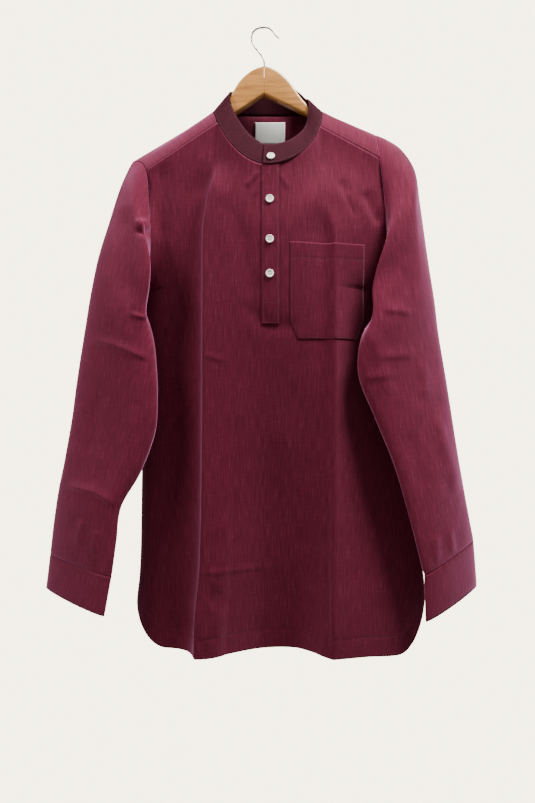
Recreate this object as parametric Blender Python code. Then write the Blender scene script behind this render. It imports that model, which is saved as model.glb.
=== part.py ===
"""Band-collar kurta tunic on a two-piece wooden hanger with a wire hook.

Metres, +Z up. The wearer's front faces -Y, the wearer's right side is at -X.
The origin is where the hook bears on its nail or rail: the top of the crook, on the inner side of the wire.
"""

import math

import bmesh
import bpy
from mathutils import Vector

# Cloth and seams
CLOTH = 0.0015
CUFF_CLOTH = 0.0020
SEAM_GAP = 0.0004
SLEEVE_GAP = 0.0006
LAYER_GAP = 0.0003

# Collar band: the seam round the neck and the band's top edge, as ovals seen from above
NECK_CENTRE = (0.0065, -0.009)
NECK_HALF_WIDTH = 0.0815
NECK_HALF_DEPTH = 0.043
NECK_SIDE_Z = -0.128
NECK_FRONT_DROP = 0.091
NECK_BACK_RISE = 0.007
# The top edge over each angle of the neck seam. It rises over the hanger's arms at both sides
#        angle    x       y       z
COLLAR_TOP = (
    (-180.0, 0.0085, 0.0260, -0.0620),
    (-160.0, -0.0079, 0.0247, -0.0667),
    (-140.0, -0.0233, 0.0208, -0.0768),
    (-120.0, -0.0364, 0.0150, -0.0855),
    (-104.0, -0.0460, 0.0080, -0.0915),
    (-92.0, -0.0505, -0.0010, -0.0955),
    (-82.0, -0.0505, -0.0105, -0.1020),
    (-72.0, -0.0485, -0.0128, -0.1130),
    (-60.0, -0.0455, -0.0170, -0.1255),
    (-45.0, -0.0368, -0.0241, -0.1447),
    (-30.0, -0.0245, -0.0304, -0.1636),
    (-15.0, -0.0089, -0.0345, -0.1787),
    (0.0, 0.0085, -0.0360, -0.1860),
    (20.0, 0.0360, -0.0322, -0.1792),
    (40.0, 0.0562, -0.0223, -0.1611),
    (55.0, 0.0640, -0.0155, -0.1450),
    (68.0, 0.0655, -0.0130, -0.1310),
    (80.0, 0.0665, -0.0114, -0.1190),
    (90.0, 0.0670, -0.0085, -0.1095),
    (100.0, 0.0665, -0.0005, -0.1060),
    (112.0, 0.0630, 0.0100, -0.1010),
    (122.0, 0.0545, 0.0165, -0.0900),
    (135.0, 0.0349, 0.0226, -0.0745),
    (150.0, 0.0258, 0.0246, -0.0673),
    (180.0, 0.0085, 0.0260, -0.0620),
)
COLLAR_OVERLAP_START = -5.5
COLLAR_OVERLAP_END = 17.5
COLLAR_LIFT = 0.0023

# Where the yoke meets the neck, in degrees round the neck seam from the centre front
YOKE_NECK = {"right": (-65.7, -102.0), "left": (71.3, 102.0)}
# Where the yoke's front and back seams meet the armhole, in degrees round it from the shoulder point
YOKE_ARMHOLE = {"right": (35.0, -58.0), "left": (50.0, -62.0)}
YOKE_BACK_Z = -0.238
# How far down each stretch of the yoke its rows lie, and how many rows of the body panels end at an armhole
STRIP_ROWS = (0.0, 0.12, 0.30, 0.60, 1.0)
YOKE_ROWS = (0.0, 0.06, 0.15, 0.33, 0.62, 1.0)
FRONT_ARM_ROWS = 11
BACK_ARM_ROWS = 7
YOKE_BACK_COLUMNS = 14
SIDE_COLUMNS = 8

# Body: half girths of the hanging tunic at each height
UNDERARM_Z = -0.392
VENT_Z = -0.806
HEM_Z = -0.927
# Hem: its height across the front, and each round tail corner's width and height
HEM = (
    (-0.190, -0.9210), (-0.149, -0.9216), (-0.1247, -0.9225), (-0.0973, -0.9260), (-0.050, -0.9235),
    (0.020, -0.9225), (0.070, -0.9235), (0.0993, -0.9260), (0.152, -0.9276), (0.188, -0.9308), (0.2425, -0.9310),
)
TAILS = {"right": (0.045, 0.064), "left": (0.045, 0.090)}
#             z       right_x   left_x
SIDES = (
    (-0.392, -0.178, 0.184),
    (-0.482, -0.180, 0.187),
    (-0.557, -0.182, 0.193),
    (-0.632, -0.182, 0.206),
    (-0.707, -0.183, 0.220),
    (-0.776, -0.184, 0.232),
    (-0.820, -0.186, 0.240),
    (-0.860, -0.190, 0.2425),
    (-0.927, -0.188, 0.241),
)
# Front: two pressed folds run down it. Their place, how far each stands forward, how far the chest stands
# forward and the hem hangs back between them, the depth and steepness of the cloth right of the right fold,
# and how evenly the cloth left of the left fold slopes away
#     z      right_x  right_y  left_x  left_y   chest   hollow   flat   steep  slope
FRONT_FOLDS = (
    (-0.200, -0.0678, -0.034, 0.0837, -0.036, -0.016, 0.0000, -0.032, 0.026, 1.05),
    (-0.219, -0.0678, -0.036, 0.0837, -0.038, -0.016, 0.0000, -0.032, 0.026, 1.05),
    (-0.260, -0.0775, -0.040, 0.0930, -0.042, -0.016, 0.0000, -0.032, 0.026, 1.05),
    (-0.310, -0.0840, -0.044, 0.1018, -0.045, -0.015, 0.0000, -0.032, 0.026, 1.05),
    (-0.400, -0.0845, -0.050, 0.1019, -0.048, -0.012, 0.0020, -0.032, 0.026, 1.05),
    (-0.500, -0.0847, -0.054, 0.1019, -0.050, -0.008, 0.0080, -0.032, 0.026, 1.05),
    (-0.600, -0.0849, -0.057, 0.1013, -0.053, -0.004, 0.0160, -0.032, 0.025, 1.05),
    (-0.700, -0.0858, -0.060, 0.1007, -0.057, 0.000, 0.0260, -0.033, 0.023, 1.05),
    (-0.800, -0.0885, -0.062, 0.1000, -0.061, 0.000, 0.0360, -0.033, 0.019, 0.90),
    (-0.860, -0.0940, -0.063, 0.0996, -0.064, 0.000, 0.0420, -0.033, 0.014, 0.80),
    (-0.927, -0.0973, -0.0636, 0.0993, -0.0657, 0.000, 0.0475, -0.033, 0.010, 0.70),
)
# The hollow's shape from the right fold (0) to the left (1)
HOLLOW = (
    (0.0, 0.0), (0.10, 0.02), (0.166, 0.12), (0.221, 0.33), (0.337, 0.62), (0.455, 0.88), (0.58, 1.0),
    (0.70, 1.0), (0.754, 0.92), (0.811, 0.72), (0.868, 0.47), (0.921, 0.17), (1.0, 0.0),
)
# Right of the right fold: where the cloth lies beside the side seam, and how wide its turn there is
FLANK_Y = -0.016
SIDE_TURN = 0.013
NECK_FADE = 0.10
#              z      depth
BACK_DEPTH = ((-0.200, 0.031), (-0.400, 0.033), (-0.600, 0.034), (-0.800, 0.035), (-0.927, 0.036))
BACK_WAVE = 0.0045
BACK_WAVE_WIDTH = 0.125
BACK_ROUNDING = 2.6

# Sleeves: one ring a row, from the armhole to the cuff seam. The outer and inner edges of the ring, how far its
# front and back stand off the line between them, how far each leans sideways, how far the front of the cap is
# drawn in, and how far the fold over the armhole stands out
RING = (
    "outer_x", "outer_y", "outer_z", "inner_x", "inner_y", "inner_z", "front", "back", "lean", "back_lean", "cap",
    "fold_x", "fold_y",
)
SLEEVES = {
    "right": (
        (-0.196, 0.000, -0.200, -0.178, 0.000, -0.392, 0.030, 0.028, 0.021, 0.014, 0.040, 0, 0),
        (-0.2050, 0.000, -0.217, -0.180, -0.003, -0.399, 0.037, 0.030, 0.018, 0.008, 0.020, 0.006, -0.007),
        (-0.2170, 0.000, -0.245, -0.180, -0.011, -0.410, 0.043, 0.032, 0.022, 0.003, 0.010, 0.011, -0.010),
        (-0.2335, 0.000, -0.297, -0.174, -0.027, -0.426, 0.039, 0.034, 0.018, 0.000, 0.000, 0.012, -0.008),
        (-0.2470, 0.000, -0.347, -0.165, -0.043, -0.445, 0.030, 0.034, 0.008, 0.000, 0.000, 0.006, -0.003),
        (-0.2570, 0.000, -0.400, -0.158, -0.050, -0.475, 0.026, 0.030, 0.000, 0.000, 0.000, 0, 0),
        (-0.266, 0.000, -0.452, -0.154, -0.053, -0.511, 0.024, 0.026, 0.000, 0.000, 0.000, 0, 0),
        (-0.2775, 0.000, -0.520, -0.152, -0.055, -0.552, 0.022, 0.023, 0.000, 0.000, 0.000, 0, 0),
        (-0.287, 0.000, -0.587, -0.155, -0.055, -0.602, 0.020, 0.020, 0.000, 0.000, 0.000, 0, 0),
        (-0.298, 0.002, -0.648, -0.176, -0.055, -0.660, 0.018, 0.018, 0.000, 0.000, 0.000, 0, 0),
        (-0.3070, 0.005, -0.690, -0.204, -0.055, -0.711, 0.016, 0.016, 0.000, 0.000, 0.000, 0, 0),
        (-0.3150, 0.007, -0.737, -0.2105, -0.055, -0.759, 0.014, 0.014, 0.000, 0.000, 0.000, 0, 0),
        (-0.3215, 0.009, -0.788, -0.2175, -0.055, -0.810, 0.012, 0.012, 0.000, 0.000, 0.000, 0, 0),
    ),
    "left": (
        (0.167, 0.000, -0.160, 0.184, 0.000, -0.392, 0.028, 0.028, 0.003, 0.003, 0.000, 0, 0),
        (0.185, 0.000, -0.1675, 0.191, -0.002, -0.397, 0.033, 0.028, 0.000, 0.003, 0.000, -0.010, -0.009),
        (0.208, 0.000, -0.184, 0.195, -0.007, -0.402, 0.036, 0.028, 0.000, 0.006, 0.000, -0.026, -0.016),
        (0.227, 0.000, -0.215, 0.194, -0.017, -0.408, 0.038, 0.029, 0.000, 0.008, 0.000, -0.036, -0.010),
        (0.234, 0.000, -0.262, 0.186, -0.030, -0.416, 0.036, 0.030, 0.000, 0.008, 0.000, -0.038, -0.004),
        (0.2410, 0.000, -0.315, 0.170, -0.043, -0.427, 0.030, 0.030, 0.000, 0.005, 0.000, -0.032, 0.000),
        (0.2480, 0.000, -0.365, 0.155, -0.052, -0.443, 0.027, 0.029, 0.000, 0.002, 0.000, -0.018, 0.000),
        (0.2550, 0.000, -0.410, 0.143, -0.058, -0.463, 0.025, 0.026, 0.000, 0.000, 0.000, -0.004, 0.000),
        (0.2615, 0.000, -0.462, 0.136, -0.060, -0.492, 0.023, 0.022, 0.000, 0.000, 0.000, 0, 0),
        (0.2725, 0.000, -0.527, 0.138, -0.060, -0.530, 0.022, 0.019, 0.000, 0.000, 0.000, 0, 0),
        (0.2835, 0.000, -0.597, 0.160, -0.060, -0.584, 0.020, 0.016, 0.000, 0.000, 0.000, 0, 0),
        (0.2965, 0.003, -0.670, 0.189, -0.060, -0.656, 0.017, 0.014, 0.000, 0.000, 0.000, 0, 0),
        (0.3105, 0.007, -0.742, 0.214, -0.058, -0.744, 0.014, 0.012, 0.000, 0.000, 0.000, 0, 0),
        (0.3165, 0.010, -0.768, 0.231, -0.055, -0.808, 0.012, 0.012, 0.000, 0.000, 0.000, 0, 0),
    ),
}
CUFF_ENDS = {
    "right": (-0.328, 0.010, -0.840, -0.228, -0.055, -0.867, 0.012, 0.012, 0, 0, 0, 0, 0),
    "left": (0.3215, 0.010, -0.837, 0.233, -0.055, -0.875, 0.012, 0.012, 0, 0, 0, 0, 0),
}
LEFT_UNDERARM = (0.202, 0.010, -0.388)
UNDERARM_RADIUS = 0.048
RELAX_STEPS = 24
CUFF_LAP_START = 305.0
CUFF_LAP = 34.0
CUFF_LIFT = 0.0026

# Placket, pocket, label and buttons
PLACKET_X = (-0.0025, 0.0225)
PLACKET_BOTTOM_Z = -0.449
SLOT_X = (0.0015, 0.0190)
SLOT_BOTTOM_Z = -0.425
STRIP_CLOTH = 0.0012
POCKET_X = (0.038, 0.147)
POCKET_Z = (-0.470, -0.331)
POCKET_CORNER = 0.012
POCKET_LIFT = 0.0014
BUTTON_RADIUS = 0.00575
BUTTON_THICKNESS = 0.0026
BUTTON_RIM = 0.0013
BUTTON_DISH = 0.0007
BUTTON_X = 0.0092
BUTTON_Z = (-0.270, -0.328, -0.377)
COLLAR_BUTTON_ANGLE = 2.6
COLLAR_BUTTON_HEIGHT = 0.36
LABEL_X = (-0.013, 0.033)
LABEL_Z = (-0.164, -0.131)
LABEL_CLOTH = 0.0010

# Hanger: two arms cut from board, and a bent wire hook
HANGER_HALF_THICKNESS = 0.008
HANGER_BEVEL = 0.0030
HANGER_JOINT_X = 0.001
JOINT_GAP = 0.00015
#                 x       z
ARM_TOPS = {
    "right": (
        (0.001, -0.0585), (-0.012, -0.0625), (-0.026, -0.0715), (-0.037, -0.083), (-0.045, -0.096),
        (-0.054, -0.1115), (-0.065, -0.1245), (-0.079, -0.136), (-0.120, -0.1625), (-0.158, -0.1875),
        (-0.171, -0.1975),
    ),
    "left": (
        (0.001, -0.0585), (0.012, -0.0615), (0.026, -0.0695), (0.038, -0.081), (0.049, -0.096),
        (0.060, -0.1105), (0.073, -0.1235), (0.088, -0.1330), (0.120, -0.1465), (0.165, -0.1675), (0.192, -0.183),
    ),
}
ARM_UNDERS = {
    "right": ((0.001, -0.1015), (-0.042, -0.130), (-0.110, -0.1735), (-0.158, -0.2030), (-0.169, -0.2085)),
    "left": ((0.001, -0.1015), (0.061, -0.130), (0.115, -0.1560), (0.165, -0.1810), (0.190, -0.193)),
}
WIRE_RADIUS = 0.0014
#               x       z
HOOK_ROUTE = (
    (0.001, -0.0581), (0.0008, -0.050), (-0.0030, -0.0405), (-0.0125, -0.0285), (-0.0178, -0.0180),
    (-0.0168, -0.0080), (-0.0105, -0.0010), (0.0000, 0.0014), (0.0080, 0.0002), (0.0138, -0.0040),
    (0.0187, -0.0105), (0.0240, -0.0150),
)


def mix(a, b, t):
    return a + (b - a) * t


def ease(t):
    t = min(1.0, max(0.0, t))
    return t * t * (3.0 - 2.0 * t)


def read(table, place):
    """The row of a table at this place in its first column, curved smoothly between its rows."""
    rows = table if table[0][0] < table[-1][0] else table[::-1]
    place = min(max(place, rows[0][0]), rows[-1][0])
    i = next(k for k in range(len(rows) - 1) if place <= rows[k + 1][0])
    before, low, high, after = rows[max(i - 1, 0)], rows[i], rows[i + 1], rows[min(i + 2, len(rows) - 1)]
    t = (place - low[0]) / (high[0] - low[0])
    return tuple(curve_value(before[k], low[k], high[k], after[k], t) for k in range(1, len(low)))


def curve_value(before, low, high, after, t):
    """Catmull-Rom between low and high."""
    start, end = (high - before) / 2, (after - low) / 2
    return (
        low * (2 * t**3 - 3 * t**2 + 1) + start * (t**3 - 2 * t**2 + t)
        + high * (3 * t**2 - 2 * t**3) + end * (t**3 - t**2)
    )


def spread(first, last, count):
    return [mix(first, last, i / count) for i in range(count + 1)]


def spread_from_edge(first, last, count):
    """Places that crowd together at the first one, where the cloth turns round the side."""
    return [mix(first, last, (i / count) ** 1.9) for i in range(count + 1)]


def spread_to_ends(first, last, count):
    """Places that crowd together at both ends."""
    return [mix(first, last, (1 - math.cos(math.pi * i / count)) / 2) for i in range(count + 1)]


# Surfaces of the tunic

def ring_points(row):
    ring = dict(zip(RING, row))
    outer = Vector((ring["outer_x"], ring["outer_y"], ring["outer_z"]))
    inner = Vector((ring["inner_x"], ring["inner_y"], ring["inner_z"]))
    middle, across = (outer + inner) / 2, (inner - outer).normalized()
    forward = Vector((0, -1, 0))
    forward = (forward - across * forward.dot(across)).normalized()
    front = middle + forward * ring["front"] + Vector((ring["lean"], 0, 0))
    back = middle - forward * ring["back"] + Vector((ring["back_lean"], 0, 0))
    return outer, front, inner, back, ring["cap"], Vector((ring["fold_x"], ring["fold_y"], 0))


def on_ring(row, angle):
    """A point round a sleeve's ring: 0 is its outer edge, 90 its front, 180 its inner edge, 270 its back."""
    outer, front, inner, back, cap, fold = ring_points(row)
    turn = math.radians(angle)
    c, s = math.cos(turn), math.sin(turn)
    point = (outer + front + inner + back) / 4 + (outer - inner) * (c / 2) + (front - back) * (s / 2)
    point += (outer - front + inner - back) * (math.cos(2 * turn) / 4)
    if c > 0:
        point.x += cap * (abs(s) ** 0.8 - s * s)
    if 60 < angle < 180:
        point += fold * math.sin(math.pi * (angle - 60) / 120) ** 2
    return point


def sleeve_row(side, place):
    """The ring at this place down a sleeve, 0 at the armhole and 1 at the cuff seam."""
    rings = SLEEVES[side]
    return read([(k / (len(rings) - 1), *row) for k, row in enumerate(rings)], place)


def armhole(side, angle):
    return on_ring(SLEEVES[side][0], angle % 360)


def armhole_outward(side, angle):
    turn = math.radians(angle)
    sideways = 0.45 if side == "left" else -0.45
    c = math.cos(turn)
    return Vector((sideways * max(c, 0), -math.sin(turn), 0.9 * c)).normalized()


def armhole_angle(side, z, facing):
    """Where the armhole passes this height, on its front (facing 1) or its back (facing -1)."""
    top, bottom = SLEEVES[side][0][2], SLEEVES[side][0][5]
    share = (z - (top + bottom) / 2) / ((top - bottom) / 2)
    return facing * math.degrees(math.acos(min(1.0, max(-1.0, share))))


def neck(angle):
    """The neck seam: 0 is the centre front and 90 the wearer's left."""
    turn = math.radians(angle)
    c, s = math.cos(turn), math.sin(turn)
    power = 1.1 if s > 0 else 1.6
    z = NECK_SIDE_Z - NECK_FRONT_DROP * max(c, 0) ** power + NECK_BACK_RISE * max(-c, 0)
    return Vector((NECK_CENTRE[0] + NECK_HALF_WIDTH * s, NECK_CENTRE[1] - NECK_HALF_DEPTH * c, z))


def neck_outward(angle):
    turn = math.radians(angle)
    s = math.sin(turn)
    return Vector((0.63 * s, -math.cos(turn), 0.78 * abs(s))).normalized()


def collar_top(angle):
    """The band's top edge over the same point of the neck seam."""
    return Vector(read(COLLAR_TOP, (angle + 180.0) % 360.0 - 180.0))


def side_x(side, z):
    """The side seam's distance from the middle. Above the underarm it is the armhole's."""
    return read(SIDES, z)[0 if side == "right" else 1]


def edge_of(side, z, facing):
    """Where a body panel ends at this height: at the armhole, or at the side seam."""
    if z > UNDERARM_Z:
        point = armhole(side, armhole_angle(side, z, facing))
        return point.x, point.y
    return side_x(side, z), -facing * SEAM_GAP / 2


def tail_x(side, z):
    """The outline below the vent, where the tail's corner is a quarter of an oval."""
    width, height = TAILS[side]
    x, toward_middle = side_x(side, z), 1 if side == "right" else -1
    drop = min(1.0, max(0.0, read(HEM, x)[0] + height - z) / height)
    return x + toward_middle * width * (1 - math.sqrt(1 - drop * drop))


def hem_z(x):
    """The hem's height, rising round the two tail corners."""
    z = read(HEM, x)[0]
    for side, sign in (("right", -1), ("left", 1)):
        width, height = TAILS[side]
        past = min(1.0, max(0.0, 1 - (side_x(side, HEM_Z) - x) * sign / width))
        z += height * (1 - math.sqrt(1 - past * past))
    return z


def yoke_front_seam(side, place):
    """The seam between yoke and front, 0 at the armhole and 1 at the neck."""
    return armhole(side, YOKE_ARMHOLE[side][0]).lerp(neck(YOKE_NECK[side][0]), place)


def shoulder_ridge(side, place):
    """The fold over the hanger's arm, 0 at the shoulder point and 1 at the neck."""
    return armhole(side, 0).lerp(neck(YOKE_NECK[side][1]), place)


def front_top(x):
    """The front's upper edge: yoke seam, neck, yoke seam."""
    for side in ("right", "left"):
        start, end = yoke_front_seam(side, 0), yoke_front_seam(side, 1)
        share = (x - start.x) / (end.x - start.x)
        if share <= 1:
            return start.lerp(end, max(share, 0.0))
    s = (x - NECK_CENTRE[0]) / NECK_HALF_WIDTH
    return neck(math.degrees(math.asin(s)))


def front_y(x, z):
    """How far forward the front lies."""
    right_x, right_y, left_x, left_y, chest, hollow, flat, steep, slope = read(FRONT_FOLDS, z)
    if right_x <= x <= left_x:
        q = (x - right_x) / (left_x - right_x)
        y = mix(right_y, left_y, q) + chest * 4 * q * (1 - q) + hollow * read(HOLLOW, q)[0]
    elif x < right_x:
        edge_x, edge_y = edge_of("right", z, 1)
        q = min(1.0, max(0.0, (x - edge_x) / (right_x - edge_x)))
        lying = mix(FLANK_Y, flat, q)
        y = lying + (edge_y - lying) * math.exp(-(x - edge_x) / SIDE_TURN)
        y += (right_y - flat) * math.exp(-(((right_x - x) / steep) ** 1.4))
    else:
        edge_x, edge_y = edge_of("left", z, 1)
        q = min(1.0, max(0.0, (x - edge_x) / (left_x - edge_x)))
        y = edge_y + (left_y - edge_y) * q**slope
    top = front_top(x)
    return mix(y, top.y, ease((z - top.z + NECK_FADE) / NECK_FADE))


def front_point(x, z):
    return Vector((x, front_y(x, z), z))


def front_outward(x, z):
    step = 0.002
    across = front_point(x + step, z) - front_point(x - step, z)
    up = front_point(x, z + step) - front_point(x, z - step)
    return across.cross(up).normalized()


def pulled(u, v, bottom, top, right, left, corner_u):
    """A height inside a panel. Its side edges pull only the cloth within corner_u of them."""
    pull_right, pull_left = max(0.0, 1 - u / corner_u), max(0.0, 1 - (1 - u) / corner_u)
    between = mix(bottom(u), top(u), v)
    between += (right - mix(bottom(0), top(0), v)) * pull_right
    between += (left - mix(bottom(1), top(1), v)) * pull_left
    return between


# Columns of the front that keep their place: the two folds and the edges of the placket's slot
FOLD_U = 0.25
SLOT_U = (0.45, 0.55)
FOLD_U_LEFT = 0.75
VENT_V = 0.15
UNDERARM_V = 0.70


def across_front(u, right_end, left_end, z):
    """The x of a column of the front."""
    fold_right_x, _, fold_left_x = read(FRONT_FOLDS, z)[:3]
    places = ((0, right_end), (FOLD_U, fold_right_x), (SLOT_U[0], SLOT_X[0]), (SLOT_U[1], SLOT_X[1]))
    places += ((FOLD_U_LEFT, fold_left_x), (1, left_end))
    k = next(i for i in range(len(places) - 1) if u <= places[i + 1][0])
    (low_u, low_x), (high_u, high_x) = places[k], places[k + 1]
    return mix(low_x, high_x, (u - low_u) / (high_u - low_u))


def tail_corner(side):
    """The middle of the tail's round corner, where a panel's hem and side edges meet."""
    x = side_x(side, HEM_Z) + TAILS[side][0] * (1 - math.cos(math.radians(45))) * (1 if side == "right" else -1)
    return x, hem_z(x)


def side_edge(side, v, top_z, facing):
    """A panel's side edge from the tail corner (v 0) up to its top seam (v 1), in x and z."""
    corner_z = tail_corner(side)[1]
    if v < VENT_V:
        z = mix(corner_z, VENT_Z, v / VENT_V)
        return Vector((tail_x(side, z), z))
    if v < UNDERARM_V:
        z = mix(VENT_Z, UNDERARM_Z, (v - VENT_V) / (UNDERARM_V - VENT_V))
        return Vector((side_x(side, z), z))
    angle = mix(180.0, abs(armhole_angle(side, top_z, facing)), (v - UNDERARM_V) / (1 - UNDERARM_V))
    point = armhole(side, facing * angle)
    return Vector((point.x, point.z))


def front_surface(u, v):
    """The front panel, u from the wearer's right to left and v from hem to shoulder."""
    ends = [yoke_front_seam(side, 0) for side in ("right", "left")]

    def bottom(at):
        return hem_z(across_front(at, tail_corner("right")[0], tail_corner("left")[0], HEM_Z))

    def top(at):
        return front_top(across_front(at, ends[0].x, ends[1].x, -0.2)).z - SEAM_GAP

    right, left = side_edge("right", v, ends[0].z - SEAM_GAP, 1), side_edge("left", v, ends[1].z - SEAM_GAP, 1)
    z = pulled(u, v, bottom, top, right.y, left.y, FOLD_U)
    return front_point(across_front(u, right.x, left.x, z), z)


def back_y(x, z):
    right_x, right_y = edge_of("right", z, -1)
    left_x, left_y = edge_of("left", z, -1)
    q = min(1.0, max(0.0, (x - right_x) / (left_x - right_x)))
    depth = read(BACK_DEPTH, z)[0]
    wave = BACK_WAVE * math.cos(2 * math.pi * x / BACK_WAVE_WIDTH) * ease((-0.45 - z) / 0.4)
    round_off = (1 - abs(2 * q - 1) ** BACK_ROUNDING) ** (1 / BACK_ROUNDING)
    edge = mix(right_y, left_y, q)
    return edge + (depth + wave - edge) * round_off


def back_seam(x):
    """The seam between yoke and back."""
    right, left = armhole("right", YOKE_ARMHOLE["right"][1]), armhole("left", YOKE_ARMHOLE["left"][1])
    q = (x - right.x) / (left.x - right.x)
    z = mix(right.z, left.z, q) + (YOKE_BACK_Z - mix(right.z, left.z, q)) * (1 - abs(2 * q - 1) ** 2)
    return Vector((x, back_y(x, z), z))


def back_surface(u, v):
    """The back panel, u from the wearer's left to right so that it faces +Y."""
    ends = [armhole(side, YOKE_ARMHOLE[side][1]) for side in ("right", "left")]

    def bottom(at):
        return hem_z(mix(tail_corner("right")[0], tail_corner("left")[0], at))

    def top(at):
        return back_seam(mix(ends[0].x, ends[1].x, at)).z - SEAM_GAP

    right, left = side_edge("right", v, ends[0].z - SEAM_GAP, -1), side_edge("left", v, ends[1].z - SEAM_GAP, -1)
    z = pulled(1 - u, v, bottom, top, right.y, left.y, 0.5)
    x = mix(right.x, left.x, 1 - u)
    return Vector((x, back_y(x, z), z))


def yoke_strip(side, along, down):
    """The yoke's part in front of the shoulder ridge: along from armhole to neck, down from ridge to seam."""
    ridge, seam = shoulder_ridge(side, along), yoke_front_seam(side, along)
    seam_angle, ridge_angle = YOKE_NECK[side]
    at_arm = armhole(side, YOKE_ARMHOLE[side][0] * down)
    at_neck = neck(mix(ridge_angle, seam_angle, down))
    corner = mix(armhole(side, 0), yoke_front_seam(side, 0), down) * (1 - along)
    corner += mix(neck(ridge_angle), yoke_front_seam(side, 1), down) * along
    return mix(ridge, seam, down) + mix(at_arm, at_neck, along) - corner


RIDGE_U = 0.30


def yoke_back_top(u):
    """The yoke's line over the top: ridge, back of the neck, ridge."""
    if u < RIDGE_U:
        return shoulder_ridge("right", u / RIDGE_U)
    if u > 1 - RIDGE_U:
        return shoulder_ridge("left", (1 - u) / RIDGE_U)
    around = mix(-YOKE_NECK["right"][1], 360 - YOKE_NECK["left"][1], (u - RIDGE_U) / (1 - 2 * RIDGE_U))
    return neck(-around)


def yoke_back(u, down):
    """The yoke's part behind the shoulder ridge, u from the wearer's right to left."""
    right_end, left_end = YOKE_ARMHOLE["right"][1], YOKE_ARMHOLE["left"][1]
    start = yoke_back_top(u)
    if u < RIDGE_U:
        seam_x = mix(armhole("right", right_end).x, neck(YOKE_NECK["right"][1]).x - 0.004, u / RIDGE_U)
    elif u > 1 - RIDGE_U:
        seam_x = mix(armhole("left", left_end).x, neck(YOKE_NECK["left"][1]).x + 0.004, (1 - u) / RIDGE_U)
    else:
        low, high = neck(YOKE_NECK["right"][1]).x - 0.004, neck(YOKE_NECK["left"][1]).x + 0.004
        seam_x = mix(low, high, (u - RIDGE_U) / (1 - 2 * RIDGE_U))
    end = back_seam(seam_x)
    middle = start.lerp(end, down)
    middle.y = mix(start.y, end.y, 1 - (1 - down) ** 3.6)
    middle.z = mix(start.z, end.z, down**1.5)
    for side, last, pull in (("right", right_end, 1 - u / 0.2), ("left", left_end, 1 - (1 - u) / 0.2)):
        if pull > 0:
            straight = armhole(side, 0).lerp(armhole(side, last), down)
            straight.y = mix(0.0, armhole(side, last).y, 1 - (1 - down) ** 3.6)
            straight.z = mix(armhole(side, 0).z, armhole(side, last).z, down**1.5)
            middle += (armhole(side, last * down) - straight) * ease(pull)
    return middle


def collar_point(angle, height):
    """The band's outer face, height 0 at the neck seam and 1 at its top. The first stretch laps over the last."""
    base, top = neck(angle), collar_top(angle)
    height = mix(SEAM_GAP / (top - base).length, 1.0, height)
    lift = COLLAR_LIFT * (1 - ease((angle - COLLAR_OVERLAP_END - 3.0) / 25.0))
    return base.lerp(top, height) + neck_outward(angle) * lift


def cuff_row(side, down):
    first, last = SLEEVES[side][-1], CUFF_ENDS[side]
    down = mix(0.012, 1.0, down)
    return [mix(a, b, down) for a, b in zip(first, last)]


def cuff_point(side, turn, down):
    """The cuff's outer face. turn runs once round and on over the lap."""
    angle = CUFF_LAP_START + turn
    point = on_ring(cuff_row(side, down), angle)
    across = on_ring(cuff_row(side, down), angle + 1) - on_ring(cuff_row(side, down), angle - 1)
    along = on_ring(cuff_row(side, 0), angle) - on_ring(cuff_row(side, 1), angle)
    away = across.cross(along).normalized() * (1 if side == "right" else -1)
    return point + away * CUFF_LIFT * ease((turn - 325.0) / 30.0)


# Making solids

def material(name, colour, roughness, metallic=0.0):
    made = bpy.data.materials.new(name)
    made.use_nodes = True
    shader = made.node_tree.nodes["Principled BSDF"]
    shader.inputs["Base Color"].default_value = (*colour, 1)
    shader.inputs["Roughness"].default_value = roughness
    shader.inputs["Metallic"].default_value = metallic
    return made


def finished(name, bm, surface):
    """Makes the object, with its faces pointing out."""
    bmesh.ops.recalc_face_normals(bm, faces=bm.faces[:])
    if bm.calc_volume(signed=True) < 0:
        bmesh.ops.reverse_faces(bm, faces=bm.faces[:])
    bmesh.ops.triangulate(bm, faces=bm.faces[:])
    mesh = bpy.data.meshes.new(name)
    bm.to_mesh(mesh)
    bm.free()
    mesh.shade_smooth()
    mesh.materials.append(surface)
    made = bpy.data.objects.new(name, mesh)
    bpy.context.scene.collection.objects.link(made)
    return made


def lay_out(bm, columns, rows, point, outward=None):
    """Adds a sheet of quads through point(column, row). outward says which way an edge's rim faces."""
    facing = bm.verts.layers.float_vector.get("outward") or bm.verts.layers.float_vector.new("outward")
    across, up = len(columns) - 1, len(rows) - 1
    grid = bmesh.ops.create_grid(bm, x_segments=across, y_segments=up, size=0.5)
    for vert in grid["verts"]:
        s = columns[round((vert.co.x + 0.5) * across)]
        t = rows[round((vert.co.y + 0.5) * up)]
        vert.co = point(s, t)
        rim = outward(s, t) if outward else None
        vert[facing] = rim if rim is not None else (0, 0, 0)
    return grid["verts"]


def thicken(bm, thickness, turned=False):
    """Closes a sheet into a wall whose outer face is the sheet. turned says that its faces point inwards."""
    facing = bm.verts.layers.float_vector["outward"]
    bmesh.ops.remove_doubles(bm, verts=bm.verts[:], dist=1e-6)
    bm.normal_update()
    for vert in bm.verts:
        held = Vector(vert[facing])
        own = -vert.normal if turned else vert.normal
        vert[facing] = held.normalized() if held.length > 0.5 else own
    grown = bmesh.ops.extrude_face_region(bm, geom=bm.faces[:], use_keep_orig=True)
    for vert in grown["geom"]:
        if isinstance(vert, bmesh.types.BMVert):
            vert.co -= Vector(vert[facing]) * thickness


def sheet(name, columns, rows, point, surface, thickness=CLOTH, outward=None, turned=False):
    bm = bmesh.new()
    lay_out(bm, columns, rows, point, outward)
    thicken(bm, thickness, turned)
    return finished(name, bm, surface)


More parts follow.
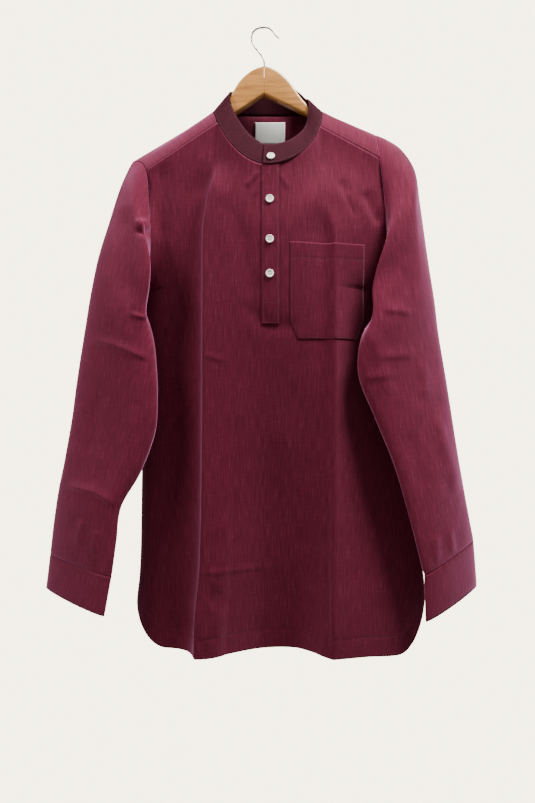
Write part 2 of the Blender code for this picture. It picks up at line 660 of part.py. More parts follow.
def panel_rim(side_edges, top_facing):
    """Which way a body panel's rim faces: along the side seams, the armholes, the neck and the top seam."""

    def rim(u, v):
        for side, at_edge in side_edges(u):
            if at_edge and v < UNDERARM_V:
                return Vector((-1 if side == "right" else 1, 0, 0))
            if at_edge:
                z = front_surface(u, v).z if top_facing < 0 else back_surface(u, v).z
                return armhole_outward(side, armhole_angle(side, z, -top_facing))
        if v == 1 and top_facing < 0:
            x = front_surface(u, v).x
            if yoke_front_seam("right", 1).x - 1e-4 < x < yoke_front_seam("left", 1).x + 1e-4:
                return neck_outward(math.degrees(math.asin((x - NECK_CENTRE[0]) / NECK_HALF_WIDTH)))
        if v == 1:
            return Vector((0, top_facing, 0.2))
        return None

    return rim


def front_columns():
    """The front's columns between its two folds."""
    return spread(FOLD_U, SLOT_U[0], 6)[:-1] + spread(*SLOT_U, 2)[:-1] + spread(SLOT_U[1], FOLD_U_LEFT, 6)


def neck_stations():
    """The angles round the neck where the front, the yoke and the collar all have a point."""
    corners = [yoke_front_seam(side, 1).x for side in ("right", "left")]
    across = [across_front(u, 0, 0, -0.2) for u in front_columns()]
    front = [math.degrees(math.asin((x - NECK_CENTRE[0]) / NECK_HALF_WIDTH)) for x in across if corners[0] <= x]
    (seam_right, ridge_right), (seam_left, ridge_left) = YOKE_NECK["right"], YOKE_NECK["left"]
    left = [mix(ridge_left, seam_left, d) for d in STRIP_ROWS[::-1]]
    right = [360 + mix(ridge_right, seam_right, d) for d in STRIP_ROWS]
    return front[:-1] + left + spread(ridge_left, 360 + ridge_right, YOKE_BACK_COLUMNS)[1:-1] + right


def armhole_stations(side):
    """The angles round an armhole where the body's pieces and the sleeve all have a point."""
    front_end, back_end = YOKE_ARMHOLE[side]
    return (
        [front_end * d for d in STRIP_ROWS] + spread(front_end, 180, FRONT_ARM_ROWS)[1:]
        + spread(180, 360 + back_end, BACK_ARM_ROWS)[1:] + [360 + back_end * d for d in YOKE_ROWS[::-1]][1:]
    )


def make_front(cloth):
    """The front, with the placket's slot cut down from the neck."""
    sides = [spread_to_ends(end, fold, SIDE_COLUMNS) for end, fold in ((0, FOLD_U), (1, FOLD_U_LEFT))]
    columns = sides[0][:-1] + front_columns() + sides[1][::-1][1:]
    rows = spread(0, VENT_V, 4)[:-1] + spread(VENT_V, UNDERARM_V, 12)[:-1] + spread(UNDERARM_V, 1, FRONT_ARM_ROWS)
    bm = bmesh.new()
    rim = panel_rim(lambda u: (("right", u == 0), ("left", u == 1)), -1)
    lay_out(bm, columns, rows, front_surface, rim)
    inside = [
        face for face in bm.faces
        if SLOT_X[0] < face.calc_center_median().x < SLOT_X[1]
        and face.calc_center_median().z > SLOT_BOTTOM_Z
    ]
    bmesh.ops.delete(bm, geom=inside, context="FACES")
    thicken(bm, CLOTH)
    return finished("front", bm, cloth)


def make_back(cloth):
    columns = spread_from_edge(0, 0.2, 5)[:-1] + spread(0.2, 0.8, 10)[:-1] + spread_from_edge(1, 0.8, 5)[::-1]
    rows = spread(0, VENT_V, 4)[:-1] + spread(VENT_V, UNDERARM_V, 10)[:-1]
    rows += spread(UNDERARM_V, 1, BACK_ARM_ROWS)
    rim = panel_rim(lambda u: (("left", u == 0), ("right", u == 1)), 1)
    return sheet("back", columns, rows, back_surface, cloth, outward=rim)


def make_yoke(cloth):
    """One piece over both shoulders: the part behind the ridge and the two strips in front of it."""
    def back_rim(u, down):
        if u in (0, 1):
            side = "right" if u == 0 else "left"
            return armhole_outward(side, YOKE_ARMHOLE[side][1] * down)
        if down == 0 and RIDGE_U <= u <= 1 - RIDGE_U:
            around = mix(-YOKE_NECK["right"][1], 360 - YOKE_NECK["left"][1], (u - RIDGE_U) / (1 - 2 * RIDGE_U))
            return neck_outward(-around)
        if down == 1:
            return Vector((0, 1, 0.2))
        return None

    def strip_rim(side):
        def rim(along, down):
            if along == 0:
                return armhole_outward(side, YOKE_ARMHOLE[side][0] * down)
            if along == 1:
                return neck_outward(mix(YOKE_NECK[side][1], YOKE_NECK[side][0], down))
            if down == 1:
                return Vector((0, -1, 0.2))
            return None

        return rim

    bm = bmesh.new()
    along, down = spread_to_ends(0, 1, SIDE_COLUMNS), STRIP_ROWS[::-1]
    right, left = [RIDGE_U * a for a in along], [1 - RIDGE_U * a for a in along[::-1]]
    columns = right[:-1] + spread(RIDGE_U, 1 - RIDGE_U, YOKE_BACK_COLUMNS)[:-1] + left
    lay_out(bm, columns[::-1], YOKE_ROWS[::-1], yoke_back, back_rim)
    lay_out(bm, along, down, lambda s, t: yoke_strip("right", s, t), strip_rim("right"))
    lay_out(bm, along[::-1], down, lambda s, t: yoke_strip("left", s, t), strip_rim("left"))
    thicken(bm, CLOTH)
    return finished("yoke", bm, cloth)


def relax(bm, centre, radius):
    """Evens out the gathered cloth behind an underarm. The seam itself stays."""
    near = [v for v in bm.verts if (v.co - centre).length < radius and not v.is_boundary]
    for _ in range(RELAX_STEPS):
        bmesh.ops.smooth_vert(bm, verts=near, factor=0.5, use_axis_x=True, use_axis_y=True, use_axis_z=True)


def make_sleeve(side, cloth):
    around = armhole_stations(side)
    if side == "left":
        around = around[::-1]
    last = len(SLEEVES[side]) - 1
    rows = spread(1, 0, 2 * last)
    gap = SLEEVE_GAP if side == "left" else -SLEEVE_GAP

    def point(angle, place):
        found = on_ring(sleeve_row(side, place), angle)
        found.x += gap * (1 - place)
        return found

    def rim(angle, place):
        return armhole_outward(side, angle) if place == 0 else None

    bm = bmesh.new()
    lay_out(bm, around, rows, point, rim)
    bmesh.ops.remove_doubles(bm, verts=bm.verts[:], dist=1e-6)
    if side == "left":
        relax(bm, Vector(LEFT_UNDERARM), UNDERARM_RADIUS)
    thicken(bm, CLOTH)
    return finished(f"sleeve_{side}", bm, cloth)


def make_cuff(side, cloth):
    turn = spread(0, 360 + CUFF_LAP, 28)
    if side == "left":
        turn = turn[::-1]
    return sheet(f"cuff_{side}", turn, spread(1, 0, 3), lambda s, t: cuff_point(side, s, t), cloth, CUFF_CLOTH)


def make_collar(cloth):
    stations = neck_stations()
    first, last = COLLAR_OVERLAP_START, 360 + COLLAR_OVERLAP_END
    angles = [a + turn for turn in (0, 360) for a in stations]
    angles = [first] + [a for a in angles if first + 1 < a < last - 1] + [last]

    def rim(angle, height):
        return neck_outward(angle) if height == 0 else None

    return sheet("collar", angles, spread(0, 1, 3), collar_point, cloth, outward=rim)


def on_front(x, z, lift):
    return front_point(x, z) + front_outward(x, z) * lift


def make_plackets(cloth):
    """The upper strip lies on the front, the under strip behind the slot."""
    top_z = [front_top(x).z - 2 * SEAM_GAP for x in PLACKET_X]
    lift = LAYER_GAP + STRIP_CLOTH

    def upper(x, share):
        return on_front(x, mix(PLACKET_BOTTOM_Z, front_top(x).z - 2 * SEAM_GAP, share), lift)

    def under(x, share):
        z = mix(PLACKET_BOTTOM_Z + 0.004, min(top_z) - 0.002, share)
        return on_front(x, z, -CLOTH - LAYER_GAP)

    sheet("placket_upper", spread(*PLACKET_X, 4), spread(0, 1, 16), upper, cloth, STRIP_CLOTH)
    sheet("placket_under", spread(*PLACKET_X, 3), spread(0, 1, 14), under, cloth, STRIP_CLOTH)


def make_pocket(cloth):
    """A patch with clipped lower corners, open along its top."""

    def point(s, t):
        clip = POCKET_CORNER * max(0.0, 1 - t * 5)
        x = mix(POCKET_X[0] + clip, POCKET_X[1] - clip, s)
        return on_front(x, mix(*POCKET_Z, t), POCKET_LIFT + STRIP_CLOTH)

    crease = (read(FRONT_FOLDS, -0.4)[2] - POCKET_X[0]) / (POCKET_X[1] - POCKET_X[0])
    columns = spread(0, crease, 8)[:-1] + spread(crease, 1, 3)
    return sheet("pocket", columns, [0, 0.1, 0.2] + spread(0.2, 1, 8)[1:], point, cloth, STRIP_CLOTH)


def make_label(cloth):
    """A blank woven label on the yoke's inner face, below the collar seam."""

    def point(s, t):
        x, z = mix(*LABEL_X, s), mix(*LABEL_Z, t)
        return Vector((x, yoke_back_y(x, z) - CLOTH - LAYER_GAP, z))

    return sheet("neck_label", spread(0, 1, 6), spread(0, 1, 4), point, cloth, LABEL_CLOTH, turned=True)


def yoke_back_y(x, z):
    """How far back the yoke lies behind the neck, found down its own column."""
    u = 0.5
    for _ in range(20):
        u -= (yoke_back(u, 0.2).x - x) * 2.0
    low, high = 0.0, 1.0
    for _ in range(20):
        middle = (low + high) / 2
        low, high = (middle, high) if yoke_back(u, middle).z > z else (low, middle)
    return yoke_back(u, low).y


def make_button(name, place, outward, surface):
    """A turned shirt button: a disc with a raised rim."""
    profile = (
        (0.0, 0.0), (BUTTON_RADIUS * 0.82, 0.0), (BUTTON_RADIUS, BUTTON_THICKNESS * 0.4),
        (BUTTON_RADIUS * 0.95, BUTTON_THICKNESS * 0.85), (BUTTON_RADIUS - BUTTON_RIM * 0.6, BUTTON_THICKNESS),
        (BUTTON_RADIUS - BUTTON_RIM * 1.6, BUTTON_THICKNESS - BUTTON_DISH),
        (0.0, BUTTON_THICKNESS - BUTTON_DISH),
    )
    bm = bmesh.new()
    verts = [bm.verts.new((r, 0, h)) for r, h in profile]
    edges = [bm.edges.new(pair) for pair in zip(verts, verts[1:])]
    bmesh.ops.spin(
        bm, geom=verts + edges, axis=(0, 0, 1), cent=(0, 0, 0), angle=2 * math.pi, steps=16, use_merge=True
    )
    bmesh.ops.remove_doubles(bm, verts=bm.verts[:], dist=1e-6)
    made = finished(name, bm, surface)
    made.location = place + outward * LAYER_GAP
    made.rotation_mode = "QUATERNION"
    made.rotation_quaternion = outward.to_track_quat("Z", "Y")
    return made


def make_buttons(shell):
    place = collar_point(COLLAR_BUTTON_ANGLE, COLLAR_BUTTON_HEIGHT)
    tilt = (collar_top(0) - neck(0)).cross(Vector((1, 0, 0))).normalized()
    outward = tilt if tilt.y < 0 else -tilt
    make_button("button_collar", place, outward, shell)
    for k, z in enumerate(BUTTON_Z):
        outward = front_outward(BUTTON_X, z)
        place = on_front(BUTTON_X, z, LAYER_GAP + STRIP_CLOTH)
        make_button(f"button_front_{k + 1}", place, outward, shell)
    for side in ("right", "left"):
        turn, down, step = 360 + CUFF_LAP * 0.45, 0.5, 4.0
        place = cuff_point(side, turn, down)
        across = cuff_point(side, turn + step, down) - cuff_point(side, turn - step, down)
        along = cuff_point(side, turn, 0.9) - cuff_point(side, turn, 0.1)
        outward = across.cross(along).normalized()
        if outward.y < 0:
            outward = -outward
        make_button(f"button_cuff_{side}", place + outward * 0.0004, outward, shell)


def make_arm(side, wood):
    """Half of the hanger, sawn from board to a curved outline, with its edges rounded over."""
    numbered = [(k, *p) for k, p in enumerate(ARM_TOPS[side])]
    tops = [read(numbered, k / 2) for k in range(2 * len(numbered) - 1)]
    shift = JOINT_GAP if side == "left" else -JOINT_GAP
    outline = [(x + shift, z) for x, z in tops] + [(x + shift, z) for x, z in ARM_UNDERS[side][::-1]]
    bm = bmesh.new()
    verts = [bm.verts.new((x, -HANGER_HALF_THICKNESS, z)) for x, z in outline]
    face = bm.faces.new(verts)
    grown = bmesh.ops.extrude_face_region(bm, geom=[face], use_keep_orig=True)
    moved = [v for v in grown["geom"] if isinstance(v, bmesh.types.BMVert)]
    bmesh.ops.translate(bm, verts=moved, vec=(0, 2 * HANGER_HALF_THICKNESS, 0))
    joint_x = HANGER_JOINT_X + shift
    long_edges = [
        e for e in bm.edges
        if abs(e.verts[0].co.y - e.verts[1].co.y) < 1e-6
        and not all(abs(v.co.x - joint_x) < 1e-5 for v in e.verts)
    ]
    bmesh.ops.bevel(
        bm, geom=long_edges, offset=HANGER_BEVEL, offset_type="OFFSET", segments=2, profile=0.5,
        affect="EDGES", material=-1,
    )
    return finished(f"hanger_arm_{side}", bm, wood)


def make_hook(steel):
    route = [(k, *p) for k, p in enumerate(HOOK_ROUTE)]
    points = [read(route, k / 3) for k in range(3 * len(HOOK_ROUTE) - 2)]
    line = bpy.data.curves.new("hanger_hook", "CURVE")
    line.dimensions = "3D"
    line.bevel_depth = WIRE_RADIUS
    line.bevel_resolution = 2
    line.use_fill_caps = True
    spline = line.splines.new("POLY")
    spline.points.add(len(points) - 1)
    for target, (x, z) in zip(spline.points, points):
        target.co = (x, 0, z, 1)
    line.materials.append(steel)
    made = bpy.data.objects.new("hanger_hook", line)
    bpy.context.scene.collection.objects.link(made)


def main():
    for old in list(bpy.data.objects):
        bpy.data.objects.remove(old, do_unlink=True)
    cloth = material("wine slub cotton", (0.113, 0.016, 0.034), 0.85)
    shell = material("white shell button", (0.78, 0.77, 0.72), 0.35)
    woven = material("white woven label", (0.70, 0.68, 0.66), 0.7)
    wood = material("varnished light wood", (0.62, 0.38, 0.17), 0.4)
    steel = material("zinc plated wire", (0.55, 0.55, 0.53), 0.3, 1.0)
    make_front(cloth)
    make_back(cloth)
    make_yoke(cloth)
    make_collar(cloth)
    make_plackets(cloth)
    make_pocket(cloth)
    for side in ("right", "left"):
        make_sleeve(side, cloth)
        make_cuff(side, cloth)
        make_arm(side, wood)
    make_label(woven)
    make_buttons(shell)
    make_hook(steel)


main()
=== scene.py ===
"""Wine slub cotton kurta tunic on a wooden hanger: its cloth, sewing, buttons, wood and wire.

Metres, +Z up. The wearer's front faces -Y and the wearer's right side is at -X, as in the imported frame.
The tunic's tables and surfaces are those its solids are made from. Each cloth piece is laid out again here
on a fine grid, with the creases, seams and hems that show, and is then sewn with its own stitches.
"""

import math
from functools import lru_cache

import bmesh
import bpy
import numpy as np
from mathutils import Matrix, Vector, noise


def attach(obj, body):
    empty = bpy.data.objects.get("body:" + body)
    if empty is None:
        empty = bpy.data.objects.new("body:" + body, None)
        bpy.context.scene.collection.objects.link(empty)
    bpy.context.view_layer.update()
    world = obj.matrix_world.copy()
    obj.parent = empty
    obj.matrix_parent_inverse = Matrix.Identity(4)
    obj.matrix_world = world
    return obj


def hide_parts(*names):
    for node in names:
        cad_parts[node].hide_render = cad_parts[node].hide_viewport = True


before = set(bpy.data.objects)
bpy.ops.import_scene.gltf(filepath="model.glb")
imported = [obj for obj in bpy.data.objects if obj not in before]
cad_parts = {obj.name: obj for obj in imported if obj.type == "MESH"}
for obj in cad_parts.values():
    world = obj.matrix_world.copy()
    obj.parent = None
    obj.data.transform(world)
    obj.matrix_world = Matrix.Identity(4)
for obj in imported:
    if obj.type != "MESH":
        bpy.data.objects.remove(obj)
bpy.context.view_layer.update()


# Cloth and seams
CLOTH = 0.0015
CUFF_CLOTH = 0.0020
LAYER_GAP = 0.0003

# Collar band: the seam round the neck and the band's top edge, as ovals seen from above
NECK_CENTRE = (0.0065, -0.009)
NECK_HALF_WIDTH = 0.0815
NECK_HALF_DEPTH = 0.043
NECK_SIDE_Z = -0.128
NECK_FRONT_DROP = 0.091
NECK_BACK_RISE = 0.007
# The top edge over each angle of the neck seam. It rises over the hanger's arms at both sides
#        angle    x       y       z
COLLAR_TOP = (
    (-180.0, 0.0085, 0.0260, -0.0620),
    (-160.0, -0.0079, 0.0247, -0.0667),
    (-140.0, -0.0233, 0.0208, -0.0768),
    (-120.0, -0.0364, 0.0150, -0.0855),
    (-104.0, -0.0460, 0.0080, -0.0915),
    (-92.0, -0.0505, -0.0010, -0.0955),
    (-82.0, -0.0505, -0.0105, -0.1020),
    (-72.0, -0.0485, -0.0128, -0.1130),
    (-60.0, -0.0455, -0.0170, -0.1255),
    (-45.0, -0.0368, -0.0241, -0.1447),
    (-30.0, -0.0245, -0.0304, -0.1636),
    (-15.0, -0.0089, -0.0345, -0.1787),
    (0.0, 0.0085, -0.0360, -0.1860),
    (20.0, 0.0360, -0.0322, -0.1792),
    (40.0, 0.0562, -0.0223, -0.1611),
    (55.0, 0.0640, -0.0155, -0.1450),
    (68.0, 0.0655, -0.0130, -0.1310),
    (80.0, 0.0665, -0.0114, -0.1190),
    (90.0, 0.0670, -0.0085, -0.1095),
    (100.0, 0.0665, -0.0005, -0.1060),
    (112.0, 0.0630, 0.0100, -0.1010),
    (122.0, 0.0545, 0.0165, -0.0900),
    (135.0, 0.0349, 0.0226, -0.0745),
    (150.0, 0.0258, 0.0246, -0.0673),
    (180.0, 0.0085, 0.0260, -0.0620),
)
COLLAR_OVERLAP_START = -5.5
COLLAR_OVERLAP_END = 17.5
COLLAR_LIFT = 0.0023

# Where the yoke meets the neck, in degrees round the neck seam from the centre front
YOKE_NECK = {"right": (-65.7, -102.0), "left": (71.3, 102.0)}
# Where the yoke's front and back seams meet the armhole, in degrees round it from the shoulder point
YOKE_ARMHOLE = {"right": (35.0, -58.0), "left": (50.0, -62.0)}
YOKE_BACK_Z = -0.238

# Body: half girths of the hanging tunic at each height
UNDERARM_Z = -0.392
VENT_Z = -0.806
HEM_Z = -0.927
# Hem: its height across the front, and each round tail corner's width and height
HEM = (
    (-0.190, -0.9210), (-0.149, -0.9216), (-0.1247, -0.9225), (-0.0973, -0.9260), (-0.050, -0.9235),
    (0.020, -0.9225), (0.070, -0.9235), (0.0993, -0.9260), (0.152, -0.9276), (0.188, -0.9308),
    (0.2425, -0.9310),
)
TAILS = {"right": (0.045, 0.064), "left": (0.045, 0.090)}
#             z       right_x   left_x
SIDES = (
    (-0.392, -0.178, 0.184),
    (-0.482, -0.180, 0.187),
    (-0.557, -0.182, 0.193),
    (-0.632, -0.182, 0.206),
    (-0.707, -0.183, 0.220),
    (-0.776, -0.184, 0.232),
    (-0.820, -0.186, 0.240),
    (-0.860, -0.190, 0.2425),
    (-0.927, -0.188, 0.241),
)
# Front: two pressed folds run down it. Their place, how far each stands forward, how far the chest stands
# forward and the hem hangs back between them, the depth and steepness of the cloth right of the right fold,
# and how evenly the cloth left of the left fold slopes away
#     z      right_x  right_y  left_x  left_y   chest   hollow   flat   steep  slope
FRONT_FOLDS = (
    (-0.200, -0.0678, -0.034, 0.0837, -0.036, -0.016, 0.0000, -0.032, 0.026, 1.05),
    (-0.219, -0.0678, -0.036, 0.0837, -0.038, -0.016, 0.0000, -0.032, 0.026, 1.05),
    (-0.260, -0.0775, -0.040, 0.0930, -0.042, -0.016, 0.0000, -0.032, 0.026, 1.05),
    (-0.310, -0.0840, -0.044, 0.1018, -0.045, -0.015, 0.0000, -0.032, 0.026, 1.05),
    (-0.400, -0.0845, -0.050, 0.1019, -0.048, -0.012, 0.0020, -0.032, 0.026, 1.05),
    (-0.500, -0.0847, -0.054, 0.1019, -0.050, -0.008, 0.0080, -0.032, 0.026, 1.05),
    (-0.600, -0.0849, -0.057, 0.1013, -0.053, -0.004, 0.0160, -0.032, 0.025, 1.05),
    (-0.700, -0.0858, -0.060, 0.1007, -0.057, 0.000, 0.0260, -0.033, 0.023, 1.05),
    (-0.800, -0.0885, -0.062, 0.1000, -0.061, 0.000, 0.0360, -0.033, 0.019, 0.90),
    (-0.860, -0.0940, -0.063, 0.0996, -0.064, 0.000, 0.0420, -0.033, 0.014, 0.80),
    (-0.927, -0.0973, -0.0636, 0.0993, -0.0657, 0.000, 0.0475, -0.033, 0.010, 0.70),
)
# The hollow's shape from the right fold (0) to the left (1)
HOLLOW = (
    (0.0, 0.0), (0.10, 0.02), (0.166, 0.12), (0.221, 0.33), (0.337, 0.62), (0.455, 0.88), (0.58, 1.0),
    (0.70, 1.0), (0.754, 0.92), (0.811, 0.72), (0.868, 0.47), (0.921, 0.17), (1.0, 0.0),
)
# Right of the right fold: where the cloth lies beside the side seam, and how wide its turn there is
FLANK_Y = -0.016
SIDE_TURN = 0.013
NECK_FADE = 0.10
#              z      depth
BACK_DEPTH = ((-0.200, 0.031), (-0.400, 0.033), (-0.600, 0.034), (-0.800, 0.035), (-0.927, 0.036))
BACK_WAVE = 0.0045
BACK_WAVE_WIDTH = 0.125
BACK_ROUNDING = 2.6

# Sleeves: one ring a row, from the armhole to the cuff seam. The outer and inner edges of the ring, how far
# its front and back stand off the line between them, how far each leans sideways, how far the front of the
# cap is drawn in, and how far the fold over the armhole stands out
RING = (
    "outer_x", "outer_y", "outer_z", "inner_x", "inner_y", "inner_z", "front", "back", "lean", "back_lean",
    "cap", "fold_x", "fold_y",
)
SLEEVES = {
    "right": (
        (-0.196, 0.000, -0.200, -0.178, 0.000, -0.392, 0.030, 0.028, 0.021, 0.014, 0.040, 0, 0),
        (-0.2050, 0.000, -0.217, -0.180, -0.003, -0.399, 0.037, 0.030, 0.018, 0.008, 0.020, 0.006, -0.007),
        (-0.2170, 0.000, -0.245, -0.180, -0.011, -0.410, 0.043, 0.032, 0.022, 0.003, 0.010, 0.011, -0.010),
        (-0.2335, 0.000, -0.297, -0.174, -0.027, -0.426, 0.039, 0.034, 0.018, 0.000, 0.000, 0.012, -0.008),
        (-0.2470, 0.000, -0.347, -0.165, -0.043, -0.445, 0.030, 0.034, 0.008, 0.000, 0.000, 0.006, -0.003),
        (-0.2570, 0.000, -0.400, -0.158, -0.050, -0.475, 0.026, 0.030, 0.000, 0.000, 0.000, 0, 0),
        (-0.266, 0.000, -0.452, -0.154, -0.053, -0.511, 0.024, 0.026, 0.000, 0.000, 0.000, 0, 0),
        (-0.2775, 0.000, -0.520, -0.152, -0.055, -0.552, 0.022, 0.023, 0.000, 0.000, 0.000, 0, 0),
        (-0.287, 0.000, -0.587, -0.155, -0.055, -0.602, 0.020, 0.020, 0.000, 0.000, 0.000, 0, 0),
        (-0.298, 0.002, -0.648, -0.176, -0.055, -0.660, 0.018, 0.018, 0.000, 0.000, 0.000, 0, 0),
        (-0.3070, 0.005, -0.690, -0.204, -0.055, -0.711, 0.016, 0.016, 0.000, 0.000, 0.000, 0, 0),
        (-0.3150, 0.007, -0.737, -0.2105, -0.055, -0.759, 0.014, 0.014, 0.000, 0.000, 0.000, 0, 0),
        (-0.3215, 0.009, -0.788, -0.2175, -0.055, -0.810, 0.012, 0.012, 0.000, 0.000, 0.000, 0, 0),
    ),
    "left": (
        (0.167, 0.000, -0.160, 0.184, 0.000, -0.392, 0.028, 0.028, 0.003, 0.003, 0.000, 0, 0),
        (0.185, 0.000, -0.1675, 0.191, -0.002, -0.397, 0.033, 0.028, 0.000, 0.003, 0.000, -0.010, -0.009),
        (0.208, 0.000, -0.184, 0.195, -0.007, -0.402, 0.036, 0.028, 0.000, 0.006, 0.000, -0.026, -0.016),
        (0.227, 0.000, -0.215, 0.194, -0.017, -0.408, 0.038, 0.029, 0.000, 0.008, 0.000, -0.036, -0.010),
        (0.234, 0.000, -0.262, 0.186, -0.030, -0.416, 0.036, 0.030, 0.000, 0.008, 0.000, -0.038, -0.004),
        (0.2410, 0.000, -0.315, 0.170, -0.043, -0.427, 0.030, 0.030, 0.000, 0.005, 0.000, -0.032, 0.000),
        (0.2480, 0.000, -0.365, 0.155, -0.052, -0.443, 0.027, 0.029, 0.000, 0.002, 0.000, -0.018, 0.000),
        (0.2550, 0.000, -0.410, 0.143, -0.058, -0.463, 0.025, 0.026, 0.000, 0.000, 0.000, -0.004, 0.000),
        (0.2615, 0.000, -0.462, 0.136, -0.060, -0.492, 0.023, 0.022, 0.000, 0.000, 0.000, 0, 0),
        (0.2725, 0.000, -0.527, 0.138, -0.060, -0.530, 0.022, 0.019, 0.000, 0.000, 0.000, 0, 0),
        (0.2835, 0.000, -0.597, 0.160, -0.060, -0.584, 0.020, 0.016, 0.000, 0.000, 0.000, 0, 0),
        (0.2965, 0.003, -0.670, 0.189, -0.060, -0.656, 0.017, 0.014, 0.000, 0.000, 0.000, 0, 0),
        (0.3105, 0.007, -0.742, 0.214, -0.058, -0.744, 0.014, 0.012, 0.000, 0.000, 0.000, 0, 0),
        (0.3165, 0.010, -0.768, 0.231, -0.055, -0.808, 0.012, 0.012, 0.000, 0.000, 0.000, 0, 0),
    ),
}
CUFF_ENDS = {
    "right": (-0.328, 0.010, -0.840, -0.228, -0.055, -0.867, 0.012, 0.012, 0, 0, 0, 0, 0),
    "left": (0.3215, 0.010, -0.837, 0.233, -0.055, -0.875, 0.012, 0.012, 0, 0, 0, 0, 0),
}
LEFT_UNDERARM = (0.202, 0.010, -0.388)
UNDERARM_RADIUS = 0.048
RELAX_STEPS = 24
CUFF_LAP_START = 305.0
CUFF_LAP = 34.0
CUFF_LIFT = 0.0026

# Placket, pocket, label and buttons
PLACKET_X = (-0.0025, 0.0225)
PLACKET_BOTTOM_Z = -0.449
SLOT_X = (0.0015, 0.0190)
SLOT_BOTTOM_Z = -0.425
STRIP_CLOTH = 0.0012
# How far the strips' grain is shifted from the front's, as they are cut from other cloth
PLACKET_GRAIN = (0.31, 0.13)
POCKET_X = (0.038, 0.147)
POCKET_Z = (-0.470, -0.331)
POCKET_CORNER = 0.012
POCKET_LIFT = 0.0011
POCKET_CLOTH = 0.0009
BUTTON_RADIUS = 0.00575
BUTTON_THICKNESS = 0.0026
BUTTON_X = 0.0092
BUTTON_Z = (-0.270, -0.328, -0.377)
COLLAR_BUTTON_ANGLE = 2.6
COLLAR_BUTTON_HEIGHT = 0.36
LABEL_X = (-0.013, 0.033)
LABEL_Z = (-0.164, -0.131)
LABEL_CLOTH = 0.0010

# Hanger: two arms cut from board, and a bent wire hook
HANGER_HALF_THICKNESS = 0.008
HANGER_BEVEL = 0.0030
HANGER_JOINT_X = 0.001
JOINT_GAP = 0.00015
#                 x       z
ARM_TOPS = {
    "right": (
        (0.001, -0.0585), (-0.012, -0.0625), (-0.026, -0.0715), (-0.037, -0.083), (-0.045, -0.096),
        (-0.054, -0.1115), (-0.065, -0.1245), (-0.079, -0.136), (-0.120, -0.1625), (-0.158, -0.1875),
        (-0.171, -0.1975),
    ),
    "left": (
        (0.001, -0.0585), (0.012, -0.0615), (0.026, -0.0695), (0.038, -0.081), (0.049, -0.096),
        (0.060, -0.1105), (0.073, -0.1235), (0.088, -0.1330), (0.120, -0.1465), (0.165, -0.1675),
        (0.192, -0.183),
    ),
}
ARM_UNDERS = {
    "right": ((0.001, -0.1015), (-0.042, -0.130), (-0.110, -0.1735), (-0.158, -0.2030), (-0.169, -0.2085)),
    "left": ((0.001, -0.1015), (0.061, -0.130), (0.115, -0.1560), (0.165, -0.1810), (0.190, -0.193)),
}
WIRE_RADIUS = 0.0014
#               x       z
HOOK_ROUTE = (
    (0.001, -0.0581), (0.0008, -0.050), (-0.0030, -0.0405), (-0.0125, -0.0285), (-0.0178, -0.0180),
    (-0.0168, -0.0080), (-0.0105, -0.0010), (0.0000, 0.0014), (0.0080, 0.0002), (0.0138, -0.0040),
    (0.0187, -0.0105), (0.0240, -0.0150),
)


def mix(a, b, t):
    return a + (b - a) * t


def ease(t):
    t = min(1.0, max(0.0, t))
    return t * t * (3.0 - 2.0 * t)


def read(table, place):
    """The row of a table at this place in its first column, curved smoothly between its rows."""
    rows = table if table[0][0] < table[-1][0] else table[::-1]
    place = min(max(place, rows[0][0]), rows[-1][0])
    i = next(k for k in range(len(rows) - 1) if place <= rows[k + 1][0])
    before, low, high, after = rows[max(i - 1, 0)], rows[i], rows[i + 1], rows[min(i + 2, len(rows) - 1)]
    t = (place - low[0]) / (high[0] - low[0])
    return tuple(curve_value(before[k], low[k], high[k], after[k], t) for k in range(1, len(low)))


def curve_value(before, low, high, after, t):
    """Catmull-Rom between low and high."""
    start, end = (high - before) / 2, (after - low) / 2
    return (
        low * (2 * t**3 - 3 * t**2 + 1) + start * (t**3 - 2 * t**2 + t)
        + high * (3 * t**2 - 2 * t**3) + end * (t**3 - t**2)
    )


def spread(first, last, count):
    return [mix(first, last, i / count) for i in range(count + 1)]


# Surfaces of the tunic

@lru_cache(maxsize=None)
def ring_points(row):
    ring = dict(zip(RING, row))
    outer = Vector((ring["outer_x"], ring["outer_y"], ring["outer_z"]))
    inner = Vector((ring["inner_x"], ring["inner_y"], ring["inner_z"]))
    middle, across = (outer + inner) / 2, (inner - outer).normalized()
    forward = Vector((0, -1, 0))
    forward = (forward - across * forward.dot(across)).normalized()
    front = middle + forward * ring["front"] + Vector((ring["lean"], 0, 0))
    back = middle - forward * ring["back"] + Vector((ring["back_lean"], 0, 0))
    return outer, front, inner, back, ring["cap"], Vector((ring["fold_x"], ring["fold_y"], 0))


def on_ring(row, angle):
    """A point round a sleeve's ring: 0 is its outer edge, 90 its front, 180 its inner edge, 270 its back."""
    outer, front, inner, back, cap, fold = ring_points(row)
    turn = math.radians(angle)
    c, s = math.cos(turn), math.sin(turn)
    point = (outer + front + inner + back) / 4 + (outer - inner) * (c / 2) + (front - back) * (s / 2)
    point += (outer - front + inner - back) * (math.cos(2 * turn) / 4)
    if c > 0:
        point.x += cap * (abs(s) ** 0.8 - s * s)
    if 60 < angle < 180:
        point += fold * math.sin(math.pi * (angle - 60) / 120) ** 2
    return point


def sleeve_row(side, place):
    """The ring at this place down a sleeve, 0 at the armhole and 1 at the cuff seam."""
    rings = SLEEVES[side]
    return read([(k / (len(rings) - 1), *row) for k, row in enumerate(rings)], place)


@lru_cache(maxsize=None)
def armhole(side, angle):
    return on_ring(SLEEVES[side][0], angle % 360)


def armhole_outward(side, angle):
    turn = math.radians(angle)
    sideways = 0.45 if side == "left" else -0.45
    c = math.cos(turn)
    return Vector((sideways * max(c, 0), -math.sin(turn), 0.9 * c)).normalized()


